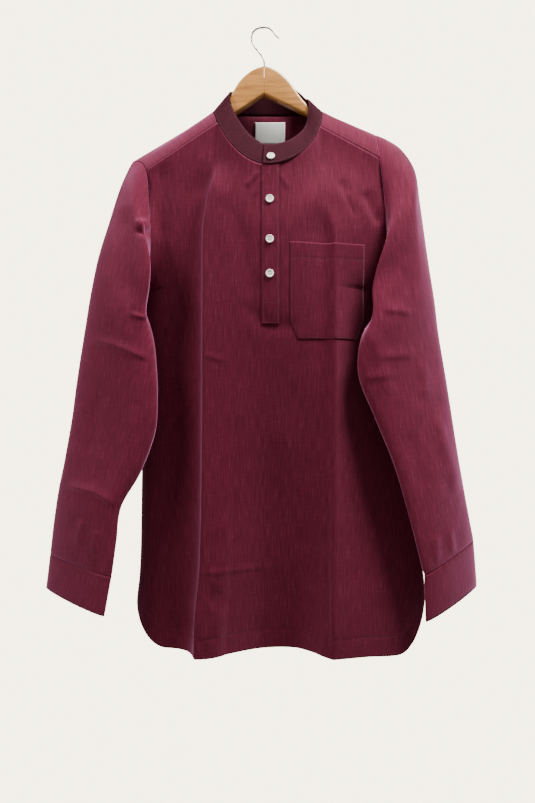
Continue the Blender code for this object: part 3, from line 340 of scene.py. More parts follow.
@lru_cache(maxsize=None)
def armhole_angle(side, z, facing):
    """Where the armhole passes this height, on its front (facing 1) or its back (facing -1)."""
    top, bottom = SLEEVES[side][0][2], SLEEVES[side][0][5]
    share = (z - (top + bottom) / 2) / ((top - bottom) / 2)
    return facing * math.degrees(math.acos(min(1.0, max(-1.0, share))))


@lru_cache(maxsize=None)
def neck(angle):
    """The neck seam: 0 is the centre front and 90 the wearer's left."""
    turn = math.radians(angle)
    c, s = math.cos(turn), math.sin(turn)
    power = 1.1 if s > 0 else 1.6
    z = NECK_SIDE_Z - NECK_FRONT_DROP * max(c, 0) ** power + NECK_BACK_RISE * max(-c, 0)
    return Vector((NECK_CENTRE[0] + NECK_HALF_WIDTH * s, NECK_CENTRE[1] - NECK_HALF_DEPTH * c, z))


def neck_outward(angle):
    turn = math.radians(angle)
    s = math.sin(turn)
    return Vector((0.63 * s, -math.cos(turn), 0.78 * abs(s))).normalized()


@lru_cache(maxsize=None)
def collar_top(angle):
    """The band's top edge over the same point of the neck seam."""
    return Vector(read(COLLAR_TOP, (angle + 180.0) % 360.0 - 180.0))


@lru_cache(maxsize=None)
def side_x(side, z):
    """The side seam's distance from the middle. Above the underarm it is the armhole's."""
    return read(SIDES, z)[0 if side == "right" else 1]


@lru_cache(maxsize=None)
def edge_of(side, z, facing):
    """Where a body panel ends at this height: at the armhole, or at the side seam."""
    if z > UNDERARM_Z:
        point = armhole(side, armhole_angle(side, z, facing))
        return point.x, point.y
    return side_x(side, z), 0.0


@lru_cache(maxsize=None)
def tail_x(side, z):
    """The outline below the vent, where the tail's corner is a quarter of an oval."""
    width, height = TAILS[side]
    x, toward_middle = side_x(side, z), 1 if side == "right" else -1
    drop = min(1.0, max(0.0, read(HEM, x)[0] + height - z) / height)
    return x + toward_middle * width * (1 - math.sqrt(1 - drop * drop))


@lru_cache(maxsize=None)
def hem_z(x):
    """The hem's height, rising round the two tail corners."""
    z = read(HEM, x)[0]
    for side, sign in (("right", -1), ("left", 1)):
        width, height = TAILS[side]
        past = min(1.0, max(0.0, 1 - (side_x(side, HEM_Z) - x) * sign / width))
        z += height * (1 - math.sqrt(1 - past * past))
    return z


@lru_cache(maxsize=None)
def yoke_front_seam(side, place):
    """The seam between yoke and front, 0 at the armhole and 1 at the neck."""
    return armhole(side, YOKE_ARMHOLE[side][0]).lerp(neck(YOKE_NECK[side][0]), place)


@lru_cache(maxsize=None)
def shoulder_ridge(side, place):
    """The fold over the hanger's arm, 0 at the shoulder point and 1 at the neck."""
    return armhole(side, 0).lerp(neck(YOKE_NECK[side][1]), place)


@lru_cache(maxsize=None)
def front_top(x):
    """The front's upper edge: yoke seam, neck, yoke seam."""
    for side in ("right", "left"):
        start, end = yoke_front_seam(side, 0), yoke_front_seam(side, 1)
        share = (x - start.x) / (end.x - start.x)
        if share <= 1:
            return start.lerp(end, max(share, 0.0))
    s = (x - NECK_CENTRE[0]) / NECK_HALF_WIDTH
    return neck(math.degrees(math.asin(s)))


def front_y(x, z):
    """How far forward the front lies."""
    right_x, right_y, left_x, left_y, chest, hollow, flat, steep, slope = read(FRONT_FOLDS, z)
    if right_x <= x <= left_x:
        q = (x - right_x) / (left_x - right_x)
        y = mix(right_y, left_y, q) + chest * 4 * q * (1 - q) + hollow * read(HOLLOW, q)[0]
    elif x < right_x:
        edge_x, edge_y = edge_of("right", z, 1)
        q = min(1.0, max(0.0, (x - edge_x) / (right_x - edge_x)))
        lying = mix(FLANK_Y, flat, q)
        y = lying + (edge_y - lying) * math.exp(-(x - edge_x) / SIDE_TURN)
        y += (right_y - flat) * math.exp(-(((right_x - x) / steep) ** 1.4))
    else:
        edge_x, edge_y = edge_of("left", z, 1)
        q = min(1.0, max(0.0, (x - edge_x) / (left_x - edge_x)))
        y = edge_y + (left_y - edge_y) * q**slope
    top = front_top(x)
    return mix(y, top.y, ease((z - top.z + NECK_FADE) / NECK_FADE))


def front_point(x, z):
    return Vector((x, front_y(x, z), z))


def front_outward(x, z):
    step = 0.002
    across = front_point(x + step, z) - front_point(x - step, z)
    up = front_point(x, z + step) - front_point(x, z - step)
    return across.cross(up).normalized()


def pulled(u, v, bottom, top, right, left, corner_u):
    """A height inside a panel. Its side edges pull only the cloth within corner_u of them."""
    pull_right, pull_left = max(0.0, 1 - u / corner_u), max(0.0, 1 - (1 - u) / corner_u)
    between = mix(bottom(u), top(u), v)
    between += (right - mix(bottom(0), top(0), v)) * pull_right
    between += (left - mix(bottom(1), top(1), v)) * pull_left
    return between


# Columns of the front that keep their place: the two folds and the edges of the placket's slot
FOLD_U = 0.25
SLOT_U = (0.45, 0.55)
FOLD_U_LEFT = 0.75
VENT_V = 0.15
UNDERARM_V = 0.70


def across_front(u, right_end, left_end, z):
    """The x of a column of the front."""
    fold_right_x, _, fold_left_x = read(FRONT_FOLDS, z)[:3]
    places = ((0, right_end), (FOLD_U, fold_right_x), (SLOT_U[0], SLOT_X[0]), (SLOT_U[1], SLOT_X[1]))
    places += ((FOLD_U_LEFT, fold_left_x), (1, left_end))
    k = next(i for i in range(len(places) - 1) if u <= places[i + 1][0])
    (low_u, low_x), (high_u, high_x) = places[k], places[k + 1]
    return mix(low_x, high_x, (u - low_u) / (high_u - low_u))


@lru_cache(maxsize=None)
def tail_corner(side):
    """The middle of the tail's round corner, where a panel's hem and side edges meet."""
    inward = TAILS[side][0] * (1 - math.cos(math.radians(45)))
    x = side_x(side, HEM_Z) + inward * (1 if side == "right" else -1)
    return x, hem_z(x)


@lru_cache(maxsize=None)
def side_edge(side, v, top_z, facing):
    """A panel's side edge from the tail corner (v 0) up to its top seam (v 1), in x and z."""
    corner_z = tail_corner(side)[1]
    if v < VENT_V:
        z = mix(corner_z, VENT_Z, v / VENT_V)
        return Vector((tail_x(side, z), z))
    if v < UNDERARM_V:
        z = mix(VENT_Z, UNDERARM_Z, (v - VENT_V) / (UNDERARM_V - VENT_V))
        return Vector((side_x(side, z), z))
    angle = mix(180.0, abs(armhole_angle(side, top_z, facing)), (v - UNDERARM_V) / (1 - UNDERARM_V))
    point = armhole(side, facing * angle)
    return Vector((point.x, point.z))


def front_surface(u, v):
    """The front panel, u from the wearer's right to left and v from hem to shoulder."""
    ends = [yoke_front_seam(side, 0) for side in ("right", "left")]

    def bottom(at):
        return hem_z(across_front(at, tail_corner("right")[0], tail_corner("left")[0], HEM_Z))

    def top(at):
        return front_top(across_front(at, ends[0].x, ends[1].x, -0.2)).z

    right, left = side_edge("right", v, ends[0].z, 1), side_edge("left", v, ends[1].z, 1)
    z = pulled(u, v, bottom, top, right.y, left.y, FOLD_U)
    return front_point(across_front(u, right.x, left.x, z), z)


def back_y(x, z):
    right_x, right_y = edge_of("right", z, -1)
    left_x, left_y = edge_of("left", z, -1)
    q = min(1.0, max(0.0, (x - right_x) / (left_x - right_x)))
    depth = read(BACK_DEPTH, z)[0]
    wave = BACK_WAVE * math.cos(2 * math.pi * x / BACK_WAVE_WIDTH) * ease((-0.45 - z) / 0.4)
    round_off = (1 - abs(2 * q - 1) ** BACK_ROUNDING) ** (1 / BACK_ROUNDING)
    edge = mix(right_y, left_y, q)
    return edge + (depth + wave - edge) * round_off


@lru_cache(maxsize=None)
def back_seam(x):
    """The seam between yoke and back."""
    right, left = armhole("right", YOKE_ARMHOLE["right"][1]), armhole("left", YOKE_ARMHOLE["left"][1])
    q = (x - right.x) / (left.x - right.x)
    z = mix(right.z, left.z, q) + (YOKE_BACK_Z - mix(right.z, left.z, q)) * (1 - abs(2 * q - 1) ** 2)
    return Vector((x, back_y(x, z), z))


def back_surface(u, v):
    """The back panel, u from the wearer's left to right so that it faces +Y."""
    ends = [armhole(side, YOKE_ARMHOLE[side][1]) for side in ("right", "left")]

    def bottom(at):
        return hem_z(mix(tail_corner("right")[0], tail_corner("left")[0], at))

    def top(at):
        return back_seam(mix(ends[0].x, ends[1].x, at)).z

    right, left = side_edge("right", v, ends[0].z, -1), side_edge("left", v, ends[1].z, -1)
    z = pulled(1 - u, v, bottom, top, right.y, left.y, 0.5)
    x = mix(right.x, left.x, 1 - u)
    return Vector((x, back_y(x, z), z))


def yoke_strip(side, along, down):
    """The yoke's part in front of the shoulder ridge: along from armhole to neck, down from ridge to seam."""
    ridge, seam = shoulder_ridge(side, along), yoke_front_seam(side, along)
    seam_angle, ridge_angle = YOKE_NECK[side]
    at_arm = armhole(side, YOKE_ARMHOLE[side][0] * down)
    at_neck = neck(mix(ridge_angle, seam_angle, down))
    corner = mix(armhole(side, 0), yoke_front_seam(side, 0), down) * (1 - along)
    corner += mix(neck(ridge_angle), yoke_front_seam(side, 1), down) * along
    return mix(ridge, seam, down) + mix(at_arm, at_neck, along) - corner


RIDGE_U = 0.30


def yoke_back_top(u):
    """The yoke's line over the top: ridge, back of the neck, ridge."""
    if u < RIDGE_U:
        return shoulder_ridge("right", u / RIDGE_U)
    if u > 1 - RIDGE_U:
        return shoulder_ridge("left", (1 - u) / RIDGE_U)
    around = mix(-YOKE_NECK["right"][1], 360 - YOKE_NECK["left"][1], (u - RIDGE_U) / (1 - 2 * RIDGE_U))
    return neck(-around)


def yoke_back(u, down):
    """The yoke's part behind the shoulder ridge, u from the wearer's right to left."""
    right_end, left_end = YOKE_ARMHOLE["right"][1], YOKE_ARMHOLE["left"][1]
    start = yoke_back_top(u)
    if u < RIDGE_U:
        seam_x = mix(armhole("right", right_end).x, neck(YOKE_NECK["right"][1]).x - 0.004, u / RIDGE_U)
    elif u > 1 - RIDGE_U:
        seam_x = mix(armhole("left", left_end).x, neck(YOKE_NECK["left"][1]).x + 0.004, (1 - u) / RIDGE_U)
    else:
        low, high = neck(YOKE_NECK["right"][1]).x - 0.004, neck(YOKE_NECK["left"][1]).x + 0.004
        seam_x = mix(low, high, (u - RIDGE_U) / (1 - 2 * RIDGE_U))
    end = back_seam(seam_x)
    middle = start.lerp(end, down)
    middle.y = mix(start.y, end.y, 1 - (1 - down) ** 3.6)
    middle.z = mix(start.z, end.z, down**1.5)
    for side, last, pull in (("right", right_end, 1 - u / 0.2), ("left", left_end, 1 - (1 - u) / 0.2)):
        if pull > 0:
            straight = armhole(side, 0).lerp(armhole(side, last), down)
            straight.y = mix(0.0, armhole(side, last).y, 1 - (1 - down) ** 3.6)
            straight.z = mix(armhole(side, 0).z, armhole(side, last).z, down**1.5)
            middle += (armhole(side, last * down) - straight) * ease(pull)
    return middle


def collar_point(angle, height):
    """The band's outer face, height 0 at the neck seam and 1 at its top. Its start laps over its end."""
    base, top = neck(angle), collar_top(angle)
    lift = COLLAR_LIFT * (1 - ease((angle - COLLAR_OVERLAP_END - 3.0) / 25.0))
    return base.lerp(top, height) + neck_outward(angle) * lift


def cuff_row(side, down):
    first, last = SLEEVES[side][-1], CUFF_ENDS[side]
    down = mix(0.012, 1.0, down)
    return tuple(mix(a, b, down) for a, b in zip(first, last))


def cuff_point(side, turn, down):
    """The cuff's outer face. turn runs once round and on over the lap."""
    angle = CUFF_LAP_START + turn
    point = on_ring(cuff_row(side, down), angle)
    across = on_ring(cuff_row(side, down), angle + 1) - on_ring(cuff_row(side, down), angle - 1)
    along = on_ring(cuff_row(side, 0), angle) - on_ring(cuff_row(side, 1), angle)
    away = across.cross(along).normalized() * (1 if side == "right" else -1)
    return point + away * CUFF_LIFT * ease((turn - 325.0) / 30.0)


def panel_rim(side_edges, top_facing):
    """Which way a body panel's rim faces: along the side seams, the armholes, the neck and the top seam."""

    def rim(u, v):
        for side, at_edge in side_edges(u):
            if at_edge and v < UNDERARM_V:
                return Vector((-1 if side == "right" else 1, 0, 0))
            if at_edge:
                z = front_surface(u, v).z if top_facing < 0 else back_surface(u, v).z
                return armhole_outward(side, armhole_angle(side, z, -top_facing))
        if v == 1 and top_facing < 0:
            x = front_surface(u, v).x
            if yoke_front_seam("right", 1).x - 1e-4 < x < yoke_front_seam("left", 1).x + 1e-4:
                return neck_outward(math.degrees(math.asin((x - NECK_CENTRE[0]) / NECK_HALF_WIDTH)))
        if v == 1:
            return Vector((0, top_facing, 0.2))
        return None

    return rim


# Fine cloth: grid spacing, relief and sewing

FINE = 0.0030
STITCH_PITCH = 0.0032
STITCH_LENGTH = 0.0024
STITCH_WIDTH = 0.00050
STITCH_HEIGHT = 0.00024
THREAD_LIFT = 0.00015
FRONT_THREAD_LIFT = 0.00012
HEM_TURN = 0.027
VENT_TURN = 0.009

# Creases of the front, as the cloth hangs: a line of x, z points, how wide and how deep each is. A depth over
# zero stands out, one under zero is a hollow, and lean turns one flank of the fold steeper than the other
#    points                                                           width    depth   lean
FRONT_CREASES = (
    (((-0.084, -0.493), (-0.056, -0.502)), 0.0040, 0.0009, 0.4),
    (((-0.127, -0.536), (-0.095, -0.521)), 0.0050, 0.0012, 0.5),
    (((-0.005, -0.228), (-0.026, -0.251)), 0.0035, 0.0018, 0.0),
    (((-0.001, -0.236), (-0.012, -0.266)), 0.0030, 0.0015, 0.0),
    (((0.024, -0.232), (0.037, -0.254)), 0.0032, 0.0015, 0.0),
    (((-0.055, -0.255), (-0.030, -0.330), (-0.012, -0.430)), 0.0140, -0.0022, 0.0),
    (((-0.034, -0.418), (0.010, -0.452), (0.055, -0.450)), 0.0120, -0.0016, 0.0),
    (((-0.146, -0.205), (-0.150, -0.260), (-0.149, -0.330)), 0.0100, -0.0030, 0.0),
    (((0.110, -0.232), (0.126, -0.270), (0.138, -0.294)), 0.0070, -0.0026, 0.4),
    (((0.123, -0.250), (0.136, -0.290)), 0.0040, 0.0016, 0.0),
    (((0.146, -0.250), (0.160, -0.280), (0.172, -0.302)), 0.0090, -0.0040, 0.3),
    (((-0.088, -0.804), (-0.040, -0.803), (0.003, -0.803)), 0.0040, 0.0012, 0.8),
    (((-0.080, -0.845), (-0.060, -0.830)), 0.0160, -0.0018, 0.0),
    (((0.030, -0.560), (0.044, -0.700), (0.040, -0.860)), 0.0200, 0.0022, 0.0),
    (((-0.030, -0.520), (-0.036, -0.680), (-0.050, -0.840)), 0.0180, 0.0016, 0.0),
)
# Creases of the sleeves' fronts
SLEEVE_CREASES = {
    "right": (
        (((-0.203, -0.270), (-0.198, -0.385), (-0.189, -0.424)), 0.0150, -0.0030, 0.0),
        (((-0.186, -0.300), (-0.170, -0.304), (-0.156, -0.300)), 0.0060, 0.0040, 0.0),
        (((-0.184, -0.314), (-0.168, -0.316), (-0.156, -0.312)), 0.0035, -0.0050, 0.0),
        (((-0.191, -0.434), (-0.176, -0.438), (-0.162, -0.441)), 0.0030, 0.0018, 0.0),
        (((-0.253, -0.471), (-0.213, -0.480), (-0.161, -0.501)), 0.0050, 0.0019, 0.9),
        (((-0.292, -0.685), (-0.246, -0.690), (-0.210, -0.708)), 0.0050, 0.0019, 0.9),
        (((-0.180, -0.560), (-0.196, -0.640), (-0.222, -0.720)), 0.0120, 0.0022, 0.0),
        (((-0.235, -0.540), (-0.252, -0.640)), 0.0120, -0.0018, 0.0),
        (((-0.270, -0.770), (-0.262, -0.730)), 0.0060, 0.0016, 0.0),
        (((-0.246, -0.778), (-0.238, -0.742)), 0.0060, 0.0016, 0.0),
    ),
    "left": (
        (((0.170, -0.428), (0.214, -0.433)), 0.0065, 0.0017, 0.6),
        (((0.162, -0.497), (0.222, -0.493)), 0.0065, 0.0014, 0.6),
        (((0.140, -0.527), (0.192, -0.522)), 0.0065, 0.0011, 0.6),
        (((0.152, -0.452), (0.180, -0.556)), 0.0100, 0.0020, 0.0),
        (((0.230, -0.500), (0.237, -0.556)), 0.0090, 0.0018, 0.0),
        (((0.247, -0.575), (0.270, -0.640), (0.288, -0.696)), 0.0110, 0.0026, 0.2),
        (((0.205, -0.600), (0.232, -0.690)), 0.0120, -0.0018, 0.0),
        (((0.250, -0.790), (0.246, -0.750)), 0.0060, 0.0016, 0.0),
        (((0.276, -0.782), (0.270, -0.742)), 0.0060, 0.0016, 0.0),
    ),
}
# The front's pressed folds: which line of FRONT_FOLDS each follows, how far it stands out, how far it reaches
# to its right and left, how far the cloth drops beside it, and where it starts
#    line  height  right  left   drop   top z
PRESSED_FOLDS = (
    (0, 0.0050, 0.030, 0.040, 0.024, -0.205),
    (2, 0.0030, 0.020, 0.020, 0.018, -0.27),
)
DROP_REACH = 0.010
DROP_RETURN = 0.026
BACK_CREASES = (
    (((-0.060, -0.250), (-0.070, -0.500), (-0.085, -0.880)), 0.0220, 0.0030, 0.0),
    (((0.030, -0.260), (0.034, -0.520), (0.030, -0.900)), 0.0260, -0.0030, 0.0),
    (((0.120, -0.300), (0.130, -0.560), (0.142, -0.860)), 0.0200, 0.0030, 0.0),
    (((-0.140, -0.420), (-0.130, -0.640)), 0.0140, -0.0022, 0.0),
)


def crease_relief(x, z, creases):
    """How far a set of creases lifts the cloth at each place."""
    total = np.zeros_like(x)
    for points, width, depth, lean in creases:
        route = np.array(points)
        legs = np.hypot(*np.diff(route, axis=0).T)
        starts = np.concatenate(([0.0], np.cumsum(legs)))
        nearest, along, side = np.full_like(x, 1e9), np.zeros_like(x), np.zeros_like(x)
        for k, leg in enumerate(legs):
            direction = (route[k + 1] - route[k]) / leg
            dx, dz = x - route[k][0], z - route[k][1]
            reach = np.clip(dx * direction[0] + dz * direction[1], 0, leg)
            off_x, off_z = dx - reach * direction[0], dz - reach * direction[1]
            distance = np.hypot(off_x, off_z)
            closer = distance < nearest
            nearest = np.where(closer, distance, nearest)
            along = np.where(closer, (starts[k] + reach) / starts[-1], along)
            side = np.where(closer, np.sign(off_x * direction[1] - off_z * direction[0]), side)
        spread_out = width * (1 - lean * 0.6 * side)
        fade = np.clip(np.sin(np.pi * np.clip(along, 0.02, 0.98)) * 1.8, 0, 1)
        total += depth * fade * np.exp(-((nearest / spread_out) ** 2))
    return total


def rumple(points, size, height, seed):
    """Soft unevenness, drawn out down the cloth."""
    stretch = Vector((1 / size, 1 / size, 0.45 / size))
    shift = Vector((seed, seed * 0.37, -seed))
    values = [
        noise.noise(Vector((p[0] * stretch.x, p[1] * stretch.y, p[2] * stretch.z)) + shift) for p in points
    ]
    return height * np.array(values)


def fade_in(distance, reach):
    t = np.clip(distance / reach, 0, 1)
    return t * t * (3 - 2 * t)


def groove(distance, width, depth):
    return -depth * np.exp(-((distance / width) ** 2))


def beside_seam(distance, depth):
    """The dip where cloth turns into a seam. The edge itself stays, so that neighbours still meet."""
    return groove(distance - 0.0022, 0.0016, depth)


def pressed_fold(x, z, column, height, right_reach, left_reach, fall, top_z):
    """A pressed fold: a crisp line that the cloth falls away from on both sides, and at once on its right."""
    line = np.array([read(FRONT_FOLDS, round(v, 3))[column] for v in z])
    right, left = np.clip(line - x, 0, None), np.clip(x - line, 0, None)
    tent = height * np.exp(-right / right_reach - left / left_reach)
    drop = fall * (np.exp(-((right / DROP_RETURN) ** 1.4)) - np.exp(-((right / DROP_REACH) ** 1.2)))
    return fade_in(top_z - z, 0.05) * (tent - drop)


def front_relief(x, z):
    """The front's creases, rumples and hem, from its x and z alone, so that what lies on it follows."""
    x, z = np.asarray(x, float), np.asarray(z, float)
    flat = np.column_stack((x, np.zeros_like(x), z))
    top = np.array([front_top_z(round(v, 4)) for v in x])
    hem = np.array([hem_height(round(v, 4)) for v in x])
    above = z - hem
    relief = crease_relief(x, z, FRONT_CREASES)
    relief += rumple(flat, 0.060, 0.00055, 3.0) + rumple(flat, 0.021, 0.00012, 9.0)
    for fold in PRESSED_FOLDS:
        relief += pressed_fold(x, z, *fold)
    relief *= fade_in(top - z, 0.016) * (0.35 + 0.65 * fade_in(above, 0.05))
    relief += groove(above - HEM_TURN, 0.0016, 0.0006)
    relief += hem_pucker(x, above)
    return relief


def hem_pucker(along, above):
    """The small waves that a sewn hem pulls into the cloth."""
    waves = np.sin(along * 2 * math.pi / 0.017) + 0.7 * np.sin(along * 2 * math.pi / 0.0107 + 1.3)
    return 0.00022 * waves * np.exp(-(((above - HEM_TURN * 0.8) / 0.012) ** 2))


@lru_cache(maxsize=None)
def front_top_z(x):
    return front_top(x).z


@lru_cache(maxsize=None)
def hem_height(x):
    return hem_z(x)


def piece_object(name, bm, surface, nodes):
    """Makes the finished piece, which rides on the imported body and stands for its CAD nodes."""
    mesh = bpy.data.meshes.new(name)
    bm.to_mesh(mesh)
    bm.free()
    mesh.shade_smooth()
    mesh.materials.append(surface)
    made = bpy.data.objects.new(name, mesh)
    bpy.context.scene.collection.objects.link(made)
    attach(made, "root")
    if nodes:
        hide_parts(*nodes)
    return made


def grid_normals(grid):
    """Outward normals of a grid of points [column, row]."""
    across, up = np.gradient(grid, axis=0), np.gradient(grid, axis=1)
    normals = np.cross(across, up)
    return normals / np.maximum(np.linalg.norm(normals, axis=2, keepdims=True), 1e-12)


def arc_lengths(grid, axis):
    steps = np.linalg.norm(np.diff(grid, axis=axis), axis=2)
    lengths = np.cumsum(steps, axis=axis)
    return np.insert(lengths, 0, 0.0, axis=axis)


@lru_cache(maxsize=None)
def girth_table(facing):
    """Lengths along the cloth across a body panel, at a grid of heights."""
    depth = front_y if facing > 0 else back_y
    xs, zs = np.linspace(-0.25, 0.26, 103), np.linspace(-0.94, -0.14, 41)
    rows = []
    for z in zs:
        ys = np.array([depth(x, z) for x in xs])
        steps = np.minimum(np.hypot(np.diff(xs), np.diff(ys)), 2.2 * (xs[1] - xs[0]))
        lengths = np.concatenate(([0.0], np.cumsum(steps)))
        rows.append(lengths - np.interp(0.01, xs, lengths))
    return xs, zs, np.array(rows)


def body_grain(facing):
    """Threads of a body panel: across it the cloth's own length, down it the height."""

    def grain(grid):
        xs, zs, table = girth_table(facing)
        x, z = grid[:, :, 0].ravel(), grid[:, :, 2].ravel()
        row = np.clip((z - zs[0]) / (zs[1] - zs[0]), 0, len(zs) - 1.001)
        low = row.astype(int)
        share = row - low
        lower = np.array([np.interp(a, xs, table[k]) for a, k in zip(x, low)])
        upper = np.array([np.interp(a, xs, table[k + 1]) for a, k in zip(x, low)])
        across = lower * (1 - share) + upper * share
        return across.reshape(grid.shape[:2]), grid[:, :, 2]

    return grain


def limb_grain(top, bottom):
    """Threads that run straight down a sleeve, from its top to its bottom."""
    along = (Vector(bottom) - Vector(top)).normalized()

    def grain(grid):
        x, z = grid[:, :, 0] - top[0], grid[:, :, 2] - top[1]
        return x * along.y - z * along.x + grid[:, :, 1] * 0.45, x * along.x + z * along.y

    return grain


def lay_cloth(bm, columns, rows, point, relief=None, rim=None, lead=0.5, grain=None, shift=(0, 0)):
    """Adds a fine sheet through point(column, row), lifted by its relief, with a map in metres."""
    facing = bm.verts.layers.float_vector.get("outward") or bm.verts.layers.float_vector.new("outward")
    map_layer = bm.loops.layers.uv.get("UVMap") or bm.loops.layers.uv.new("UVMap")
    across, up = len(columns) - 1, len(rows) - 1
    grid = np.array([[point(s, t)[:] for t in rows] for s in columns])
    normals = grid_normals(grid)
    if relief is not None:
        grid = grid + normals * relief(grid, normals, np.array(columns), np.array(rows))[:, :, None]
    start = round(lead * across)
    widths = arc_lengths(grid, 0)
    widths = widths - widths[start: start + 1, :]
    heights = np.repeat(arc_lengths(grid[start: start + 1], 1), across + 1, axis=0)
    if grain:
        widths, heights = grain(grid)
    widths, heights = widths + shift[0], heights + shift[1]
    made = bmesh.ops.create_grid(bm, x_segments=across, y_segments=up, size=0.5)
    places = {}
    for vert in made["verts"]:
        i, j = round((vert.co.x + 0.5) * across), round((vert.co.y + 0.5) * up)
        places[vert] = (i, j)
        vert.co = grid[i, j]
        held = rim(columns[i], rows[j]) if rim and (i in (0, across) or j in (0, up)) else None
        vert[facing] = held if held is not None else (0, 0, 0)
    for face in {f for v in made["verts"] for f in v.link_faces}:
        for loop in face.loops:
            i, j = places[loop.vert]
            loop[map_layer].uv = (widths[i, j], heights[i, j])


def thicken(bm, thickness, turned=False):
    """Closes a sheet into a wall whose outer face is the sheet. turned says that its faces point inwards."""
    facing = bm.verts.layers.float_vector["outward"]
    bmesh.ops.remove_doubles(bm, verts=bm.verts[:], dist=1e-6)
    bm.normal_update()
    for vert in bm.verts:
        held = Vector(vert[facing])
        own = -vert.normal if turned else vert.normal
        vert[facing] = held.normalized() if held.length > 0.5 else own
    grown = bmesh.ops.extrude_face_region(bm, geom=bm.faces[:], use_keep_orig=True)
    for vert in grown["geom"]:
        if isinstance(vert, bmesh.types.BMVert):
            vert.co -= Vector(vert[facing]) * thickness
    bmesh.ops.recalc_face_normals(bm, faces=bm.faces[:])
    if bm.calc_volume(signed=True) < 0:
        bmesh.ops.reverse_faces(bm, faces=bm.faces[:])


def places_between(stops, lengths, spacing):
    """Grid places through every stop, with about the given spacing over the real lengths between them."""
    found = [stops[0]]
    for low, high, length in zip(stops, stops[1:], lengths):
        count = max(1, round(length / spacing))
        found += [mix(low, high, (k + 1) / count) for k in range(count)]
    return found


# The tunic's cloth pieces

def make_front(cloth):
    """The front, with the placket's slot cut down from the neck."""
    columns = places_between(
        (0, 0.06, FOLD_U, SLOT_U[0], sum(SLOT_U) / 2, SLOT_U[1], FOLD_U_LEFT, 0.94, 1),
        (0.045, 0.075, 0.090, 0.0088, 0.0088, 0.085, 0.080, 0.045), FINE,
    )
    rows = places_between((0, 0.04, VENT_V, UNDERARM_V, 1), (0.04, 0.08, 0.414, 0.20), FINE)

    def relief(grid, normals, s, t):
        x, z = grid[:, :, 0], grid[:, :, 2]
        lift = front_relief(x.ravel(), z.ravel()).reshape(x.shape)
        from_side = np.minimum(s, 1 - s)[:, None] * 0.45
        lift = lift * fade_in(from_side, 0.012)
        vent = (t < VENT_V)[None, :] * groove(from_side - VENT_TURN, 0.0014, 0.0005)
        seam = (t >= VENT_V)[None, :] * beside_seam(from_side, 0.0006)
        return lift + vent + seam

    bm = bmesh.new()
    rim = panel_rim(lambda u: (("right", u == 0), ("left", u == 1)), -1)
    lay_cloth(bm, columns, rows, front_surface, relief, rim, grain=body_grain(1))
    inside = [
        face for face in bm.faces
        if SLOT_X[0] < face.calc_center_median().x < SLOT_X[1]
        and face.calc_center_median().z > SLOT_BOTTOM_Z
    ]
    bmesh.ops.delete(bm, geom=inside, context="FACES")
    thicken(bm, CLOTH)
    return piece_object("tunic_front", bm, cloth, ["front"])


def make_back(cloth):
    columns = places_between((0, 0.05, 0.95, 1), (0.04, 0.36, 0.04), FINE)
    rows = places_between((0, VENT_V, UNDERARM_V, 1), (0.12, 0.414, 0.17), FINE)

    def relief(grid, normals, s, t):
        x, z = grid[:, :, 0], grid[:, :, 2]
        hem = np.array([hem_height(round(v, 4)) for v in x.ravel()]).reshape(x.shape)
        above = z - hem
        lift = crease_relief(x, z, BACK_CREASES)
        lift += rumple(grid.reshape(-1, 3), 0.060, 0.0008, 17.0).reshape(x.shape)
        lift += rumple(grid.reshape(-1, 3), 0.022, 0.0002, 23.0).reshape(x.shape)
        from_side = np.minimum(s, 1 - s)[:, None] * 0.42
        lift = lift * fade_in(from_side, 0.014) * fade_in((1 - t)[None, :] * 0.6, 0.03)
        hem_seam = groove(above - HEM_TURN, 0.0016, 0.0006) * fade_in(from_side, 0.01)
        lift += hem_seam + hem_pucker(x, above) * 0.8
        vent = (t < VENT_V)[None, :] * groove(from_side - VENT_TURN, 0.0014, 0.0005)
        seam = (t >= VENT_V)[None, :] * beside_seam(from_side, 0.0006)
        return lift + vent + seam + beside_seam((1 - t)[None, :] * 0.6, 0.0005)

    bm = bmesh.new()
    rim = panel_rim(lambda u: (("left", u == 0), ("right", u == 1)), 1)
    lay_cloth(bm, columns, rows, back_surface, relief, rim, grain=body_grain(-1), shift=(1.3, 0.4))
    thicken(bm, CLOTH)
    return piece_object("tunic_back", bm, cloth, ["back"])


def yoke_rims():
    def back_rim(u, down):
        if u in (0, 1):
            side = "right" if u == 0 else "left"
            return armhole_outward(side, YOKE_ARMHOLE[side][1] * down)
        if down == 0 and RIDGE_U <= u <= 1 - RIDGE_U:
            share = (u - RIDGE_U) / (1 - 2 * RIDGE_U)
            around = mix(-YOKE_NECK["right"][1], 360 - YOKE_NECK["left"][1], share)
            return neck_outward(-around)
        if down == 1:
            return Vector((0, 1, 0.2))
        return None

    def strip_rim(side):
        def rim(along, down):
            if along == 0:
                return armhole_outward(side, YOKE_ARMHOLE[side][0] * down)
            if along == 1:
                return neck_outward(mix(YOKE_NECK[side][1], YOKE_NECK[side][0], down))
            if down == 1:
                return Vector((0, -1, 0.2))
            return None

        return rim

    return back_rim, strip_rim


